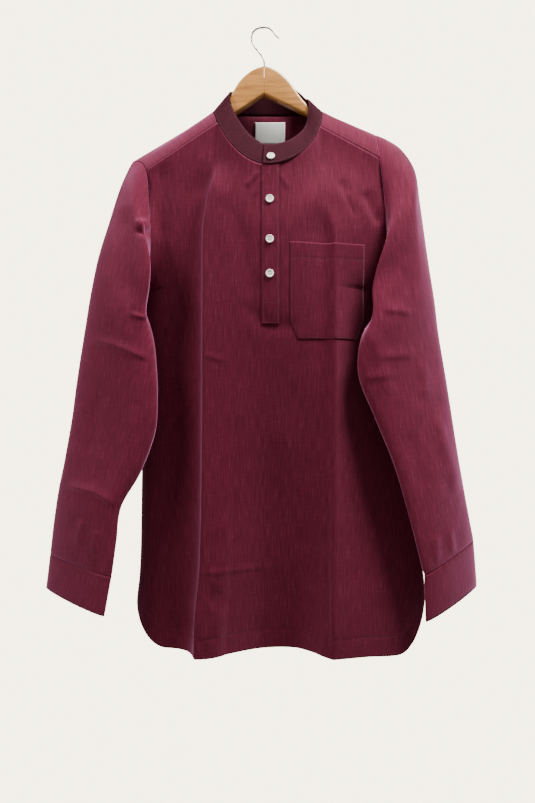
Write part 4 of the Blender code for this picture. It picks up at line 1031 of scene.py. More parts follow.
def make_yoke(cloth):
    """One piece over both shoulders: the part behind the ridge and the two strips in front of it."""
    back_rim, strip_rim = yoke_rims()
    along = spread(0, 1, 48)
    down = [d for d in spread(1, 0, 18)]
    right, left = [RIDGE_U * a for a in along], [1 - RIDGE_U * a for a in along[::-1]]
    columns = right[:-1] + spread(RIDGE_U, 1 - RIDGE_U, 64)[:-1] + left
    yoke_rows = [1 - (1 - d) ** 1.35 for d in spread(0, 1, 42)]

    def back_relief(grid, normals, s, t):
        x = grid[:, :, 0]
        lift = rumple(grid.reshape(-1, 3), 0.045, 0.0005, 31.0).reshape(x.shape)
        edge = np.minimum(np.minimum(s, 1 - s)[:, None] * 0.40, np.minimum(t, 1 - t)[None, :] * 0.11)
        lift = lift * fade_in(edge, 0.012)
        return lift + beside_seam((1 - t)[None, :] * 0.11, 0.0005)

    def strip_relief(grid, normals, s, t):
        x = grid[:, :, 0]
        lift = rumple(grid.reshape(-1, 3), 0.035, 0.0004, 37.0).reshape(x.shape)
        edge = np.minimum(np.minimum(s, 1 - s)[:, None] * 0.11, np.minimum(t, 1 - t)[None, :] * 0.035)
        return lift * fade_in(edge, 0.010) + beside_seam((1 - t)[None, :] * 0.035, 0.0005)

    bm = bmesh.new()
    lay_cloth(bm, columns[::-1], yoke_rows[::-1], yoke_back, back_relief, back_rim)
    lay_cloth(bm, along, down, lambda s, t: yoke_strip("right", s, t), strip_relief, strip_rim("right"), 0)
    lay_cloth(
        bm, along[::-1], down, lambda s, t: yoke_strip("left", s, t), strip_relief, strip_rim("left"), 0
    )
    thicken(bm, CLOTH)
    return piece_object("tunic_yoke", bm, cloth, ["yoke"])


def make_collar(cloth):
    """The standing band, lapped at the centre front."""
    first, last = COLLAR_OVERLAP_START, 360 + COLLAR_OVERLAP_END
    angles = spread(first, last, 230)
    heights = spread(0, 1, 13)

    def relief(grid, normals, s, t):
        x = grid[:, :, 0]
        lift = rumple(grid.reshape(-1, 3), 0.030, 0.0005, 41.0).reshape(x.shape)
        edge = np.minimum(t, 1 - t)[None, :] * 0.033
        lift = lift * fade_in(edge, 0.008)
        lift += groove(edge - 0.0028, 0.0012, 0.00035)
        lift += 0.00012 * np.sin(s * 2.3)[:, None] * np.exp(-((edge / 0.006) ** 2))
        return lift * fade_in(t[None, :] * 0.033, 0.002)

    def rim(angle, height):
        return neck_outward(angle) if height == 0 else None

    bm = bmesh.new()
    lay_cloth(bm, angles, heights, collar_point, relief, rim)
    thicken(bm, CLOTH)
    return piece_object("tunic_collar", bm, cloth, ["collar"])


def sleeve_point(side, angle, place):
    found = on_ring(cached_row(side, place), angle)
    return found


@lru_cache(maxsize=None)
def cached_row(side, place):
    return sleeve_row(side, place)


def make_sleeve(side, cloth):
    around = spread(0, 360, 120)
    if side == "left":
        around = around[::-1]
    rows = spread(1, 0, 210)

    def relief(grid, normals, s, t):
        x, z = grid[:, :, 0], grid[:, :, 2]
        in_front = np.clip(-normals[:, :, 1] * 1.6, 0, 1)
        behind = np.clip(normals[:, :, 1] * 1.6, 0, 1)
        lift = crease_relief(x, z, SLEEVE_CREASES[side]) * in_front
        lift += crease_relief(x + 0.004, z - 0.03, SLEEVE_CREASES[side]) * behind * 0.8
        seed = 51.0 if side == "right" else 67.0
        lift += rumple(grid.reshape(-1, 3), 0.055, 0.0008, seed).reshape(x.shape)
        lift += rumple(grid.reshape(-1, 3), 0.019, 0.00018, seed + 5).reshape(x.shape)
        from_end = np.minimum(t * 0.62, (1 - t) * 0.62)[None, :]
        lift = lift * fade_in(from_end, 0.015)
        under = np.abs(s - 180)[:, None] / 360 * 0.25
        return lift * fade_in(under, 0.008) + beside_seam(from_end, 0.0005)

    def rim(angle, place):
        return armhole_outward(side, angle) if place == 0 else None

    bm = bmesh.new()
    first, last = SLEEVES[side][0], SLEEVES[side][-1]
    top, bottom = [((row[0] + row[3]) / 2, (row[2] + row[5]) / 2) for row in (first, last)]
    shift = (0.6, 0.2) if side == "right" else (2.1, 0.7)
    grain = limb_grain(top, bottom)
    lay_cloth(bm, around, rows, lambda s, t: sleeve_point(side, s, t), relief, rim, 0, grain, shift)
    bmesh.ops.remove_doubles(bm, verts=bm.verts[:], dist=1e-6)
    if side == "left":
        relax(bm, Vector(LEFT_UNDERARM), UNDERARM_RADIUS)
    thicken(bm, CLOTH)
    return piece_object(f"tunic_sleeve_{side}", bm, cloth, [f"sleeve_{side}"])


def relax(bm, centre, radius):
    """Evens out the gathered cloth behind an underarm. The seam itself stays."""
    near = [v for v in bm.verts if (v.co - centre).length < radius and not v.is_boundary]
    for _ in range(RELAX_STEPS * 4):
        bmesh.ops.smooth_vert(bm, verts=near, factor=0.5, use_axis_x=True, use_axis_y=True, use_axis_z=True)


def make_cuff(side, cloth):
    turn = spread(0, 360 + CUFF_LAP, 116)
    if side == "left":
        turn = turn[::-1]
    downs = spread(1, 0, 22)

    def relief(grid, normals, s, t):
        x = grid[:, :, 0]
        lift = rumple(grid.reshape(-1, 3), 0.028, 0.0004, 71.0).reshape(x.shape)
        edge = np.minimum(t, 1 - t)[None, :] * 0.055
        return lift * fade_in(edge, 0.008) + groove(edge - 0.003, 0.0012, 0.0003)

    bm = bmesh.new()
    lay_cloth(bm, turn, downs, lambda s, t: cuff_point(side, s, t), relief)
    thicken(bm, CUFF_CLOTH)
    return piece_object(f"tunic_cuff_{side}", bm, cloth, [f"cuff_{side}"])


def on_front(x, z, lift):
    return front_point(x, z) + front_outward(x, z) * lift


def patch_relief(grid, normals, s, t):
    """What lies on the front takes the front's own relief."""
    x, z = grid[:, :, 0], grid[:, :, 2]
    return front_relief(x.ravel(), z.ravel()).reshape(x.shape)


def make_plackets(cloth):
    """The upper strip lies on the front, the under strip behind the slot."""
    top_z = [front_top(x).z for x in PLACKET_X]

    def upper(x, share):
        top = front_top(x).z
        return on_front(x, mix(PLACKET_BOTTOM_Z, top, share), LAYER_GAP + STRIP_CLOTH)

    def under(x, share):
        z = mix(PLACKET_BOTTOM_Z + 0.004, min(top_z) - 0.002, share)
        return on_front(x, z, -CLOTH - LAYER_GAP)

    def edged(grid, normals, s, t):
        lift = patch_relief(grid, normals, s, t)
        edge = np.minimum(s - PLACKET_X[0], PLACKET_X[1] - s)[:, None]
        return lift + groove(edge - 0.0022, 0.0009, 0.00025) + groove(edge, 0.0009, 0.0003)

    made = []
    for name, point, relief, count in (("upper", upper, edged, 20), ("under", under, patch_relief, 10)):
        bm = bmesh.new()
        across = spread(*PLACKET_X, count)
        lay_cloth(bm, across, spread(0, 1, 110), point, relief, grain=body_grain(1), shift=PLACKET_GRAIN)
        thicken(bm, STRIP_CLOTH)
        made.append(piece_object(f"tunic_placket_{name}", bm, cloth, [f"placket_{name}"]))
    return made


def make_pocket(cloth):
    """A patch with clipped lower corners, open along its top."""

    def point(s, t):
        clip = POCKET_CORNER * max(0.0, 1 - t * 5)
        x = mix(POCKET_X[0] + clip, POCKET_X[1] - clip, s)
        return on_front(x, mix(*POCKET_Z, t), POCKET_LIFT)

    def relief(grid, normals, s, t):
        lift = patch_relief(grid, normals, s, t)
        side = np.minimum(s, 1 - s)[:, None] * (POCKET_X[1] - POCKET_X[0])
        low = t[None, :] * (POCKET_Z[1] - POCKET_Z[0])
        high = (1 - t)[None, :] * (POCKET_Z[1] - POCKET_Z[0])
        edge = np.minimum(side, low)
        lift = lift + groove(edge - 0.0022, 0.0010, 0.0003) + groove(edge, 0.001, 0.0003)
        lift = lift + groove(high - 0.023, 0.0012, 0.0004)
        return lift + 0.0005 * np.exp(-((high / 0.02) ** 2)) * fade_in(side, 0.03)

    bm = bmesh.new()
    lay_cloth(bm, spread(0, 1, 50), spread(0, 1, 62), point, relief, None, 0.5, body_grain(1), (0.17, 0.29))
    thicken(bm, POCKET_CLOTH)
    return piece_object("tunic_pocket", bm, cloth, ["pocket"])


def yoke_back_y(x, z):
    """How far back the yoke lies behind the neck, found down its own column."""
    u = 0.5
    for _ in range(20):
        u -= (yoke_back(u, 0.2).x - x) * 2.0
    low, high = 0.0, 1.0
    for _ in range(20):
        middle = (low + high) / 2
        low, high = (middle, high) if yoke_back(u, middle).z > z else (low, middle)
    return yoke_back(u, low).y


def make_label(cloth):
    """A blank woven label on the yoke's inner face, below the collar seam."""

    def point(s, t):
        x, z = mix(*LABEL_X, s), mix(*LABEL_Z, t)
        return Vector((x, yoke_back_y(x, z) - CLOTH - LAYER_GAP - 0.0006, z))

    bm = bmesh.new()
    lay_cloth(bm, spread(0, 1, 24), spread(0, 1, 18), point)
    thicken(bm, LABEL_CLOTH, turned=True)
    return piece_object("neck_label_woven", bm, cloth, ["neck_label"])


# Sewing

def add_stitches(bm, route, outward, pitch=STITCH_PITCH, length=STITCH_LENGTH):
    """Lays stitches end to end along a route of points. outward gives the cloth's facing at each point."""
    steps = [(b - a).length for a, b in zip(route, route[1:])]
    total, gone, leg = sum(steps), 0.0, 0
    count = max(1, int(total / pitch))
    for k in range(count):
        at = (k + 0.5) * total / count
        while leg < len(steps) - 1 and gone + steps[leg] < at:
            gone += steps[leg]
            leg += 1
        share = (at - gone) / max(steps[leg], 1e-9)
        place = route[leg].lerp(route[leg + 1], share)
        along = (route[leg + 1] - route[leg]).normalized()
        up = outward[leg].lerp(outward[leg + 1], share).normalized()
        across = up.cross(along).normalized()
        up = along.cross(across)
        sides = (along * length / 2, across * STITCH_WIDTH / 2, up * STITCH_HEIGHT / 2)
        turned = Matrix(sides).transposed().to_4x4()
        turned.translation = place
        bmesh.ops.create_icosphere(bm, subdivisions=1, radius=1.0, matrix=turned)


def front_route(points, lift):
    """A route over the front through x, z points, following its relief."""
    dense = [points[0]]
    for a, b in zip(points, points[1:]):
        count = max(1, round(math.dist(a, b) / 0.004))
        dense += [(mix(a[0], b[0], k / count), mix(a[1], b[1], k / count)) for k in range(1, count + 1)]
    raised = front_relief([p[0] for p in dense], [p[1] for p in dense])
    outward = [front_outward(x, z) for x, z in dense]
    route = [front_point(x, z) + n * (lift + float(r)) for (x, z), n, r in zip(dense, outward, raised)]
    return route, outward


def surface_route(point, pairs, lift, flip=1):
    """A route over any surface point(s, t) through its own places."""
    step = 1e-3
    route, outward = [], []
    for s, t, ds, dt in pairs:
        at = point(s, t)
        across = point(s + ds * step, t) - point(s - ds * step, t)
        up = point(s, t + dt * step) - point(s, t - dt * step)
        facing = across.cross(up).normalized() * flip
        route.append(at + facing * lift)
        outward.append(facing)
    return route, outward


def sewing(name, routes, thread, pitch=STITCH_PITCH, length=STITCH_LENGTH):
    bm = bmesh.new()
    for route, outward in routes:
        add_stitches(bm, route, outward, pitch, length)
    bmesh.ops.recalc_face_normals(bm, faces=bm.faces[:])
    return piece_object(name, bm, thread, [])


def sew_front(thread):
    """Placket edges and its closing box, the pocket and the hem."""
    lift = LAYER_GAP + STRIP_CLOTH + FRONT_THREAD_LIFT
    inset = 0.0022
    low, high = PLACKET_X[0] + inset, PLACKET_X[1] - inset
    tops = [front_top(x).z - 0.004 for x in (low, high)]
    bottom, box_top = PLACKET_BOTTOM_Z + inset, PLACKET_BOTTOM_Z + 0.030
    placket = [
        front_route(((low, tops[0]), (low, bottom), (high, bottom), (high, tops[1])), lift),
        front_route(((low, box_top), (high, box_top)), lift),
    ]
    x0, x1 = POCKET_X[0] + inset, POCKET_X[1] - inset
    z0, z1 = POCKET_Z[0] + inset, POCKET_Z[1]
    pocket_lift = POCKET_LIFT + 0.00005
    outline = ((x0, z1), (x0, z0 + POCKET_CORNER * 2.2), (x0 + POCKET_CORNER, z0), (x1 - POCKET_CORNER, z0))
    outline += ((x1, z0 + POCKET_CORNER * 2.2), (x1, z1))
    hem_line = (x0 + 0.001, POCKET_Z[1] - 0.023), (x1 - 0.001, POCKET_Z[1] - 0.023)
    pocket = [front_route(outline, pocket_lift), front_route(hem_line, pocket_lift)]
    corners = [tail_corner(side)[0] for side in ("right", "left")]
    xs = spread(corners[0] - 0.004, corners[1] + 0.004, 120)
    hem = [front_route([(x, hem_z(x) + HEM_TURN) for x in xs], FRONT_THREAD_LIFT)]
    return [
        sewing("stitching_placket", placket, thread), sewing("stitching_pocket", pocket, thread),
        sewing("stitching_hem_front", hem, thread),
    ]


def sew_body(thread):
    """Topstitching on the collar and the yoke."""
    around = spread(COLLAR_OVERLAP_START + 1, 360 + COLLAR_OVERLAP_END - 1, 240)
    collar_low = [(angle, 0.085, 1, 1) for angle in around]
    collar_high = [(angle, 0.915, 1, -1) for angle in around]
    ends = [(COLLAR_OVERLAP_START + 1.6, h, 1, 1) for h in spread(0.085, 0.915, 12)]
    collar = [surface_route(collar_point, pairs, THREAD_LIFT) for pairs in (collar_low, ends)]
    collar.append(surface_route(collar_point, collar_high, THREAD_LIFT, -1))
    yoke = []
    for side in ("right", "left"):
        along = spread(0.01, 0.99, 40)
        pairs = [(s, 0.93, 1, -1) for s in along]
        route, outward = surface_route(lambda s, t: yoke_strip(side, s, t), pairs, THREAD_LIFT)
        if outward[0].y > 0:
            route, outward = surface_route(lambda s, t: yoke_strip(side, s, t), pairs, THREAD_LIFT, -1)
        yoke.append((route, outward))
    pairs = [(u, 0.965, 1, -1) for u in spread(0.012, 0.988, 150)]
    route, outward = surface_route(yoke_back, pairs, THREAD_LIFT)
    if outward[60].y < 0:
        route, outward = surface_route(yoke_back, pairs, THREAD_LIFT, -1)
    yoke.append((route, outward))
    return [
        sewing("stitching_collar", collar, thread), sewing("stitching_yoke", yoke, thread),
    ]


def sew_sleeve(side, thread):
    """Two rows round each cuff."""
    turns = spread(2, 360 + CUFF_LAP - 2, 150)
    rings = []
    for down in (0.05, 0.95):
        pairs = [(angle, down, 1, -1) for angle in turns]
        route, outward = surface_route(lambda s, t: cuff_point(side, s, t), pairs, THREAD_LIFT)
        middle = sum((p for p in route), Vector()) / len(route)
        if (route[40] - middle).dot(outward[40]) < 0:
            outward = [-n for n in outward]
            route = [p + n * 0.0003 for p, n in zip(route, outward)]
        rings.append((route, outward))
    return [sewing(f"stitching_cuff_{side}", rings, thread)]


# Buttons

BUTTON_HOLE_RADIUS = 0.00085
BUTTON_HOLE_SPREAD = 0.00135
BUTTON_WELL = 0.73
STRAND_RADIUS = 0.00022


def button_places():
    """Where each button sits and which way it faces, in the order of its CAD nodes."""
    place = collar_point(COLLAR_BUTTON_ANGLE, COLLAR_BUTTON_HEIGHT)
    tilt = (collar_top(0) - neck(0)).cross(Vector((1, 0, 0))).normalized()
    outward = tilt if tilt.y < 0 else -tilt
    found = [("button_collar", place, outward)]
    for k, z in enumerate(BUTTON_Z):
        outward = front_outward(BUTTON_X, z)
        place = on_front(BUTTON_X, z, LAYER_GAP + STRIP_CLOTH)
        found.append((f"button_front_{k + 1}", place, outward))
    for side in ("right", "left"):
        turn, down, step = 360 + CUFF_LAP * 0.45, 0.5, 4.0
        place = cuff_point(side, turn, down)
        across = cuff_point(side, turn + step, down) - cuff_point(side, turn - step, down)
        along = cuff_point(side, turn, 0.9) - cuff_point(side, turn, 0.1)
        outward = across.cross(along).normalized()
        if outward.y < 0:
            outward = -outward
        found.append((f"button_cuff_{side}", place + outward * 0.0004, outward))
    return found


def make_button(name, place, outward, shell, thread):
    """A turned four-hole shirt button with a raised rim, sewn on with two strands."""
    profile = (
        (0.0, 0.0), (0.72, 0.0), (0.88, 0.08), (0.97, 0.30), (1.0, 0.50), (0.985, 0.74), (0.94, 0.91),
        (0.885, 0.985), (0.83, 1.0), (0.775, 0.955), (0.725, 0.86), (0.67, 0.77), (0.60, BUTTON_WELL),
        (0.0, BUTTON_WELL),
    )
    bm = bmesh.new()
    verts = [bm.verts.new((r * BUTTON_RADIUS, 0, h * BUTTON_THICKNESS)) for r, h in profile]
    edges = [bm.edges.new(pair) for pair in zip(verts, verts[1:])]
    bmesh.ops.spin(
        bm, geom=verts + edges, axis=(0, 0, 1), cent=(0, 0, 0), angle=2 * math.pi, steps=48, use_merge=True
    )
    bmesh.ops.remove_doubles(bm, verts=bm.verts[:], dist=1e-6)
    bmesh.ops.recalc_face_normals(bm, faces=bm.faces[:])
    mesh = bpy.data.meshes.new(name)
    bm.to_mesh(mesh)
    bm.free()
    disc = bpy.data.objects.new("button_blank", mesh)
    bpy.context.scene.collection.objects.link(disc)
    drill_bm = bmesh.new()
    for sx, sy in ((1, 1), (1, -1), (-1, 1), (-1, -1)):
        spot = Matrix.Translation((sx * BUTTON_HOLE_SPREAD, sy * BUTTON_HOLE_SPREAD, BUTTON_THICKNESS * 0.4))
        bmesh.ops.create_cone(
            drill_bm, cap_ends=True, segments=14, radius1=BUTTON_HOLE_RADIUS, radius2=BUTTON_HOLE_RADIUS,
            depth=BUTTON_THICKNESS * 3, matrix=spot,
        )
    drill_mesh = bpy.data.meshes.new("drill")
    drill_bm.to_mesh(drill_mesh)
    drill_bm.free()
    drill = bpy.data.objects.new("drill", drill_mesh)
    bpy.context.scene.collection.objects.link(drill)
    cut = disc.modifiers.new("holes", "BOOLEAN")
    cut.operation, cut.object, cut.solver = "DIFFERENCE", drill, "EXACT"
    graph = bpy.context.evaluated_depsgraph_get()
    drilled = bpy.data.meshes.new_from_object(disc.evaluated_get(graph))
    bm = bmesh.new()
    bm.from_mesh(drilled)
    for leftover in (disc, drill):
        bpy.data.objects.remove(leftover, do_unlink=True)
    turn = outward.to_track_quat("Z", "Y").to_matrix().to_4x4()
    turn.translation = place + outward * LAYER_GAP
    bmesh.ops.transform(bm, matrix=turn, verts=bm.verts[:])
    made = piece_object(f"{name}_shell", bm, shell, [name])
    mesh = made.data
    mesh.shade_smooth()
    mesh.set_sharp_from_angle(angle=math.radians(38))

    bm = bmesh.new()
    for sx in (1, -1):
        ends = [Vector((sx * BUTTON_HOLE_SPREAD, sy * BUTTON_HOLE_SPREAD, 0)) for sy in (1, -1)]
        for nudge in (-STRAND_RADIUS, STRAND_RADIUS):
            top = BUTTON_THICKNESS * BUTTON_WELL + 0.0002
            arch = [
                ends[0] + Vector((nudge, 0, 0.0004)), ends[0].lerp(ends[1], 0.1) + Vector((nudge, 0, top)),
                ends[0].lerp(ends[1], 0.9) + Vector((nudge, 0, top)), ends[1] + Vector((nudge, 0, 0.0004)),
            ]
            for a, b in zip(arch, arch[1:]):
                middle, along = (a + b) / 2, b - a
                strand = along.to_track_quat("Z", "Y").to_matrix().to_4x4()
                strand.translation = middle
                bmesh.ops.create_cone(
                    bm, cap_ends=True, segments=6, radius1=STRAND_RADIUS, radius2=STRAND_RADIUS,
                    depth=along.length * 1.02, matrix=strand,
                )
    bmesh.ops.transform(bm, matrix=turn, verts=bm.verts[:])
    bmesh.ops.recalc_face_normals(bm, faces=bm.faces[:])
    piece_object(f"{name}_thread", bm, thread, [])
    return made


# Hanger

def smooth_line(points, steps):
    """A line's points with a number of steps curved between each two."""
    line = [(k, *point) for k, point in enumerate(points)]
    return [read(line, k / steps) for k in range(steps * (len(points) - 1) + 1)]


def make_arm(side, wood):
    """Half of the hanger, sawn from board to a curved outline, with its edges rounded over."""
    tops, unders = smooth_line(ARM_TOPS[side], 6), smooth_line(ARM_UNDERS[side], 8)
    shift = JOINT_GAP if side == "left" else -JOINT_GAP
    outline = [(x + shift, z) for x, z in tops] + [(x + shift, z) for x, z in unders[::-1]]
    bm = bmesh.new()
    verts = [bm.verts.new((x, -HANGER_HALF_THICKNESS, z)) for x, z in outline]
    face = bm.faces.new(verts)
    grown = bmesh.ops.extrude_face_region(bm, geom=[face], use_keep_orig=True)
    moved = [v for v in grown["geom"] if isinstance(v, bmesh.types.BMVert)]
    bmesh.ops.translate(bm, verts=moved, vec=(0, 2 * HANGER_HALF_THICKNESS, 0))
    joint_x = HANGER_JOINT_X + shift
    long_edges = [
        e for e in bm.edges
        if abs(e.verts[0].co.y - e.verts[1].co.y) < 1e-6
        and not all(abs(v.co.x - joint_x) < 1e-5 for v in e.verts)
    ]
    bmesh.ops.bevel(
        bm, geom=long_edges, offset=HANGER_BEVEL * 1.25, offset_type="OFFSET", segments=5, profile=0.5,
        affect="EDGES", material=-1,
    )
    bmesh.ops.recalc_face_normals(bm, faces=bm.faces[:])
    if bm.calc_volume(signed=True) < 0:
        bmesh.ops.reverse_faces(bm, faces=bm.faces[:])
    made = piece_object(f"hanger_{side}_arm", bm, wood, [f"hanger_arm_{side}"])
    made.data.set_sharp_from_angle(angle=math.radians(50))
    return made


def make_hook(steel):
    """Wire bent round to a hook, its end upturned."""
    points = smooth_line(HOOK_ROUTE, 10)
    line = bpy.data.curves.new("wire_route", "CURVE")
    line.dimensions = "3D"
    line.bevel_depth = WIRE_RADIUS
    line.bevel_resolution = 6
    line.use_fill_caps = True
    spline = line.splines.new("POLY")
    spline.points.add(len(points) - 1)
    for target, (x, z) in zip(spline.points, points):
        target.co = (x, 0, z, 1)
    guide = bpy.data.objects.new("wire_route", line)
    bpy.context.scene.collection.objects.link(guide)
    graph = bpy.context.evaluated_depsgraph_get()
    shaped = bpy.data.meshes.new_from_object(guide.evaluated_get(graph))
    bm = bmesh.new()
    bm.from_mesh(shaped)
    bpy.data.objects.remove(guide, do_unlink=True)
    bmesh.ops.remove_doubles(bm, verts=bm.verts[:], dist=1e-7)
    return piece_object("hanger_wire_hook", bm, steel, ["hanger_hook"])


# Materials

def colour(text):
    """An sRGB hex value as a linear colour."""
    values = [int(text[k:k + 2], 16) / 255 for k in (1, 3, 5)]
    return [*(v / 12.92 if v <= 0.04045 else ((v + 0.055) / 1.055) ** 2.4 for v in values), 1.0]


def add(tree, kind, inputs=None, **settings):
    """Adds a node. An input's value is either a constant or the output socket that feeds it."""
    made = tree.nodes.new(kind)
    for key, value in settings.items():
        setattr(made, key, value)
    for key, value in (inputs or {}).items():
        if isinstance(value, bpy.types.NodeSocket):
            tree.links.new(value, made.inputs[key])
        else:
            made.inputs[key].default_value = value
    return made


def new_material(name, **finish):
    made = bpy.data.materials.new(name)
    made.use_nodes = True
    shader = made.node_tree.nodes["Principled BSDF"]
    for key, value in finish.items():
        shader.inputs[key].default_value = value
    return made, made.node_tree, shader


def ramp(tree, factor, *stops):
    made = add(tree, "ShaderNodeValToRGB", {"Fac": factor})
    marks = made.color_ramp.elements
    while len(marks) < len(stops):
        marks.new(0.5)
    for mark, (place, shade) in zip(marks, stops):
        mark.position = place
        mark.color = colour(shade) if isinstance(shade, str) else (shade, shade, shade, 1)
    return made.outputs["Color"]


# The cloth's real yarns lie about 0.35 mm apart, too fine for the picture, so they are drawn 1.8 mm apart. A
# streak is drawn 1.9 mm wide and 26 mm long on the warp, and 1.8 mm by 17 mm across it
YARN_SCALE = 170.0
WARP_STREAKS = (520, 38, 1)
WEFT_STREAKS = (60, 560, 1)
CRUMPLES = (62, 30, 1)


def slub_cotton(name="wine_slub_cotton", depth=1.0, down=0.36):
    """Hand-loom slub cotton, piece-dyed wine: uneven yarns show as fine lighter streaks along the warp and
    shorter ones across it, over a dull plain weave. depth multiplies the dyed colour: under 1 it paints shade
    onto a copy of the cloth, over 1 painted light. down is how much soft pale fuzz stands on the face."""
    made, tree, shader = new_material(
        name,
        **{
            "Roughness": 0.80, "Specular IOR Level": 0.08, "Specular Tint": colour("#ffd0f0"),
            "Sheen Weight": down, "Sheen Roughness": 0.42, "Sheen Tint": colour("#f0a0d8"),
        },
    )
    place = add(tree, "ShaderNodeTexCoord").outputs["UV"]
    warp_map = add(tree, "ShaderNodeMapping", {"Vector": place, "Scale": WARP_STREAKS}).outputs["Vector"]
    weft_map = add(tree, "ShaderNodeMapping", {"Vector": place, "Scale": WEFT_STREAKS}).outputs["Vector"]
    warp = add(tree, "ShaderNodeTexNoise", {"Vector": warp_map, "Scale": 1.0, "Detail": 2.0}).outputs["Fac"]
    weft = add(tree, "ShaderNodeTexNoise", {"Vector": weft_map, "Scale": 1.0, "Detail": 2.0}).outputs["Fac"]
    warp_streak = ramp(tree, warp, (0.36, 0.0), (0.72, 1.0))
    weft_streak = ramp(tree, weft, (0.44, 0.0), (0.82, 1.0))
    weak_weft = add(tree, "ShaderNodeMath", {0: weft_streak, 1: 0.40}, operation="MULTIPLY").outputs[0]
    both = add(tree, "ShaderNodeMath", {0: warp_streak, 1: 0.80, 2: weak_weft}, operation="MULTIPLY_ADD")
    cloudy = add(tree, "ShaderNodeTexNoise", {"Vector": place, "Scale": 9.0, "Detail": 2.0}).outputs["Fac"]
    base = ramp(
        tree, both.outputs[0], (0.0, "#440e1d"), (0.40, "#4c1223"), (0.75, "#531629"), (1.0, "#5d2138")
    )
    # depth scales the whole colour here: painted shade on the collar's copy, painted light on the yoke's and
    # sleeves'
    shade = ramp(tree, cloudy, (0.30, 0.93 * depth), (0.70, depth))
    mixed = add(tree, "ShaderNodeMix", {0: 1.0, 6: base, 7: shade}, data_type="RGBA", blend_type="MULTIPLY")
    tree.links.new(mixed.outputs[2], shader.inputs["Base Color"])
    yarn = {"Vector": place, "Scale": YARN_SCALE, "Distortion": 2.0, "Detail": 1.0}
    warp_yarn, weft_yarn = [
        add(tree, "ShaderNodeTexWave", yarn, bands_direction=along).outputs["Fac"] for along in "XY"
    ]
    weave = add(tree, "ShaderNodeMath", {0: warp_yarn, 1: weft_yarn}, operation="MULTIPLY").outputs[0]
    relief = add(
        tree, "ShaderNodeMath", {0: both.outputs[0], 1: 0.4, 2: weave}, operation="MULTIPLY_ADD"
    ).outputs[0]
    bump = add(tree, "ShaderNodeBump", {"Height": relief, "Strength": 0.20, "Distance": 0.00025})
    crumple_map = add(tree, "ShaderNodeMapping", {"Vector": place, "Scale": CRUMPLES}).outputs["Vector"]
    crumple = add(
        tree, "ShaderNodeTexNoise", {"Vector": crumple_map, "Scale": 1.0, "Detail": 4.0}
    ).outputs["Fac"]
    soft = add(
        tree, "ShaderNodeBump",
        {"Height": crumple, "Strength": 0.10, "Distance": 0.0010, "Normal": bump.outputs["Normal"]},
    )
    tree.links.new(soft.outputs["Normal"], shader.inputs["Normal"])
    return made


def sewing_thread():
    """Matching polyester sewing thread, its colour painted a little darker than the cloth's as painted shade
    along the seams.
    """
    made, tree, shader = new_material(
        "wine_sewing_thread",
        **{"Roughness": 0.65, "Specular IOR Level": 0.12, "Sheen Weight": 0.25},
    )
    place = add(tree, "ShaderNodeTexCoord").outputs["Object"]
    spots = add(tree, "ShaderNodeTexNoise", {"Vector": place, "Scale": 900.0, "Detail": 1.0}).outputs["Fac"]
    tree.links.new(ramp(tree, spots, (0.3, "#3e0c1a"), (0.7, "#4e1325")), shader.inputs["Base Color"])
    return made


def white_thread():
    """Spun polyester button thread, white and dull."""
    made, tree, shader = new_material("white_button_thread", **{"Roughness": 0.7})
    place = add(tree, "ShaderNodeTexCoord").outputs["Object"]
    spots = add(tree, "ShaderNodeTexNoise", {"Vector": place, "Scale": 1500.0}).outputs["Fac"]
    tree.links.new(ramp(tree, spots, (0.3, "#cfc9bd"), (0.7, "#ece8de")), shader.inputs["Base Color"])
    return made


def shell_button():
    """Turned river shell: white with a faint warm cloud and a soft gloss."""
    made, tree, shader = new_material(
        "white_shell", **{"Roughness": 0.28, "Coat Weight": 0.35, "Coat Roughness": 0.15, "IOR": 1.53}
    )
    place = add(tree, "ShaderNodeTexCoord").outputs["Object"]
    cloud = add(tree, "ShaderNodeTexNoise", {"Vector": place, "Scale": 240.0, "Detail": 3.0}).outputs["Fac"]
    tree.links.new(ramp(tree, cloud, (0.3, "#dcd8cb"), (0.7, "#f3f1e8")), shader.inputs["Base Color"])
    return made


def woven_label():
    """A plain satin-woven polyester label with fine ribs across it, really 0.2 mm apart and drawn 0.75 mm."""
    made, tree, shader = new_material("white_woven_label", **{"Roughness": 0.6, "Sheen Weight": 0.3})
    place = add(tree, "ShaderNodeTexCoord").outputs["UV"]
    ribs = add(
        tree, "ShaderNodeTexWave", {"Vector": place, "Scale": 420.0, "Distortion": 0.6, "Detail": 1.0},
        bands_direction="Y",
    ).outputs["Fac"]
    tree.links.new(ramp(tree, ribs, (0.1, "#d6d9da"), (0.9, "#f2f5f6")), shader.inputs["Base Color"])
    bump = add(tree, "ShaderNodeBump", {"Height": ribs, "Strength": 0.4, "Distance": 0.0002})
    tree.links.new(bump.outputs["Normal"], shader.inputs["Normal"])
    return made


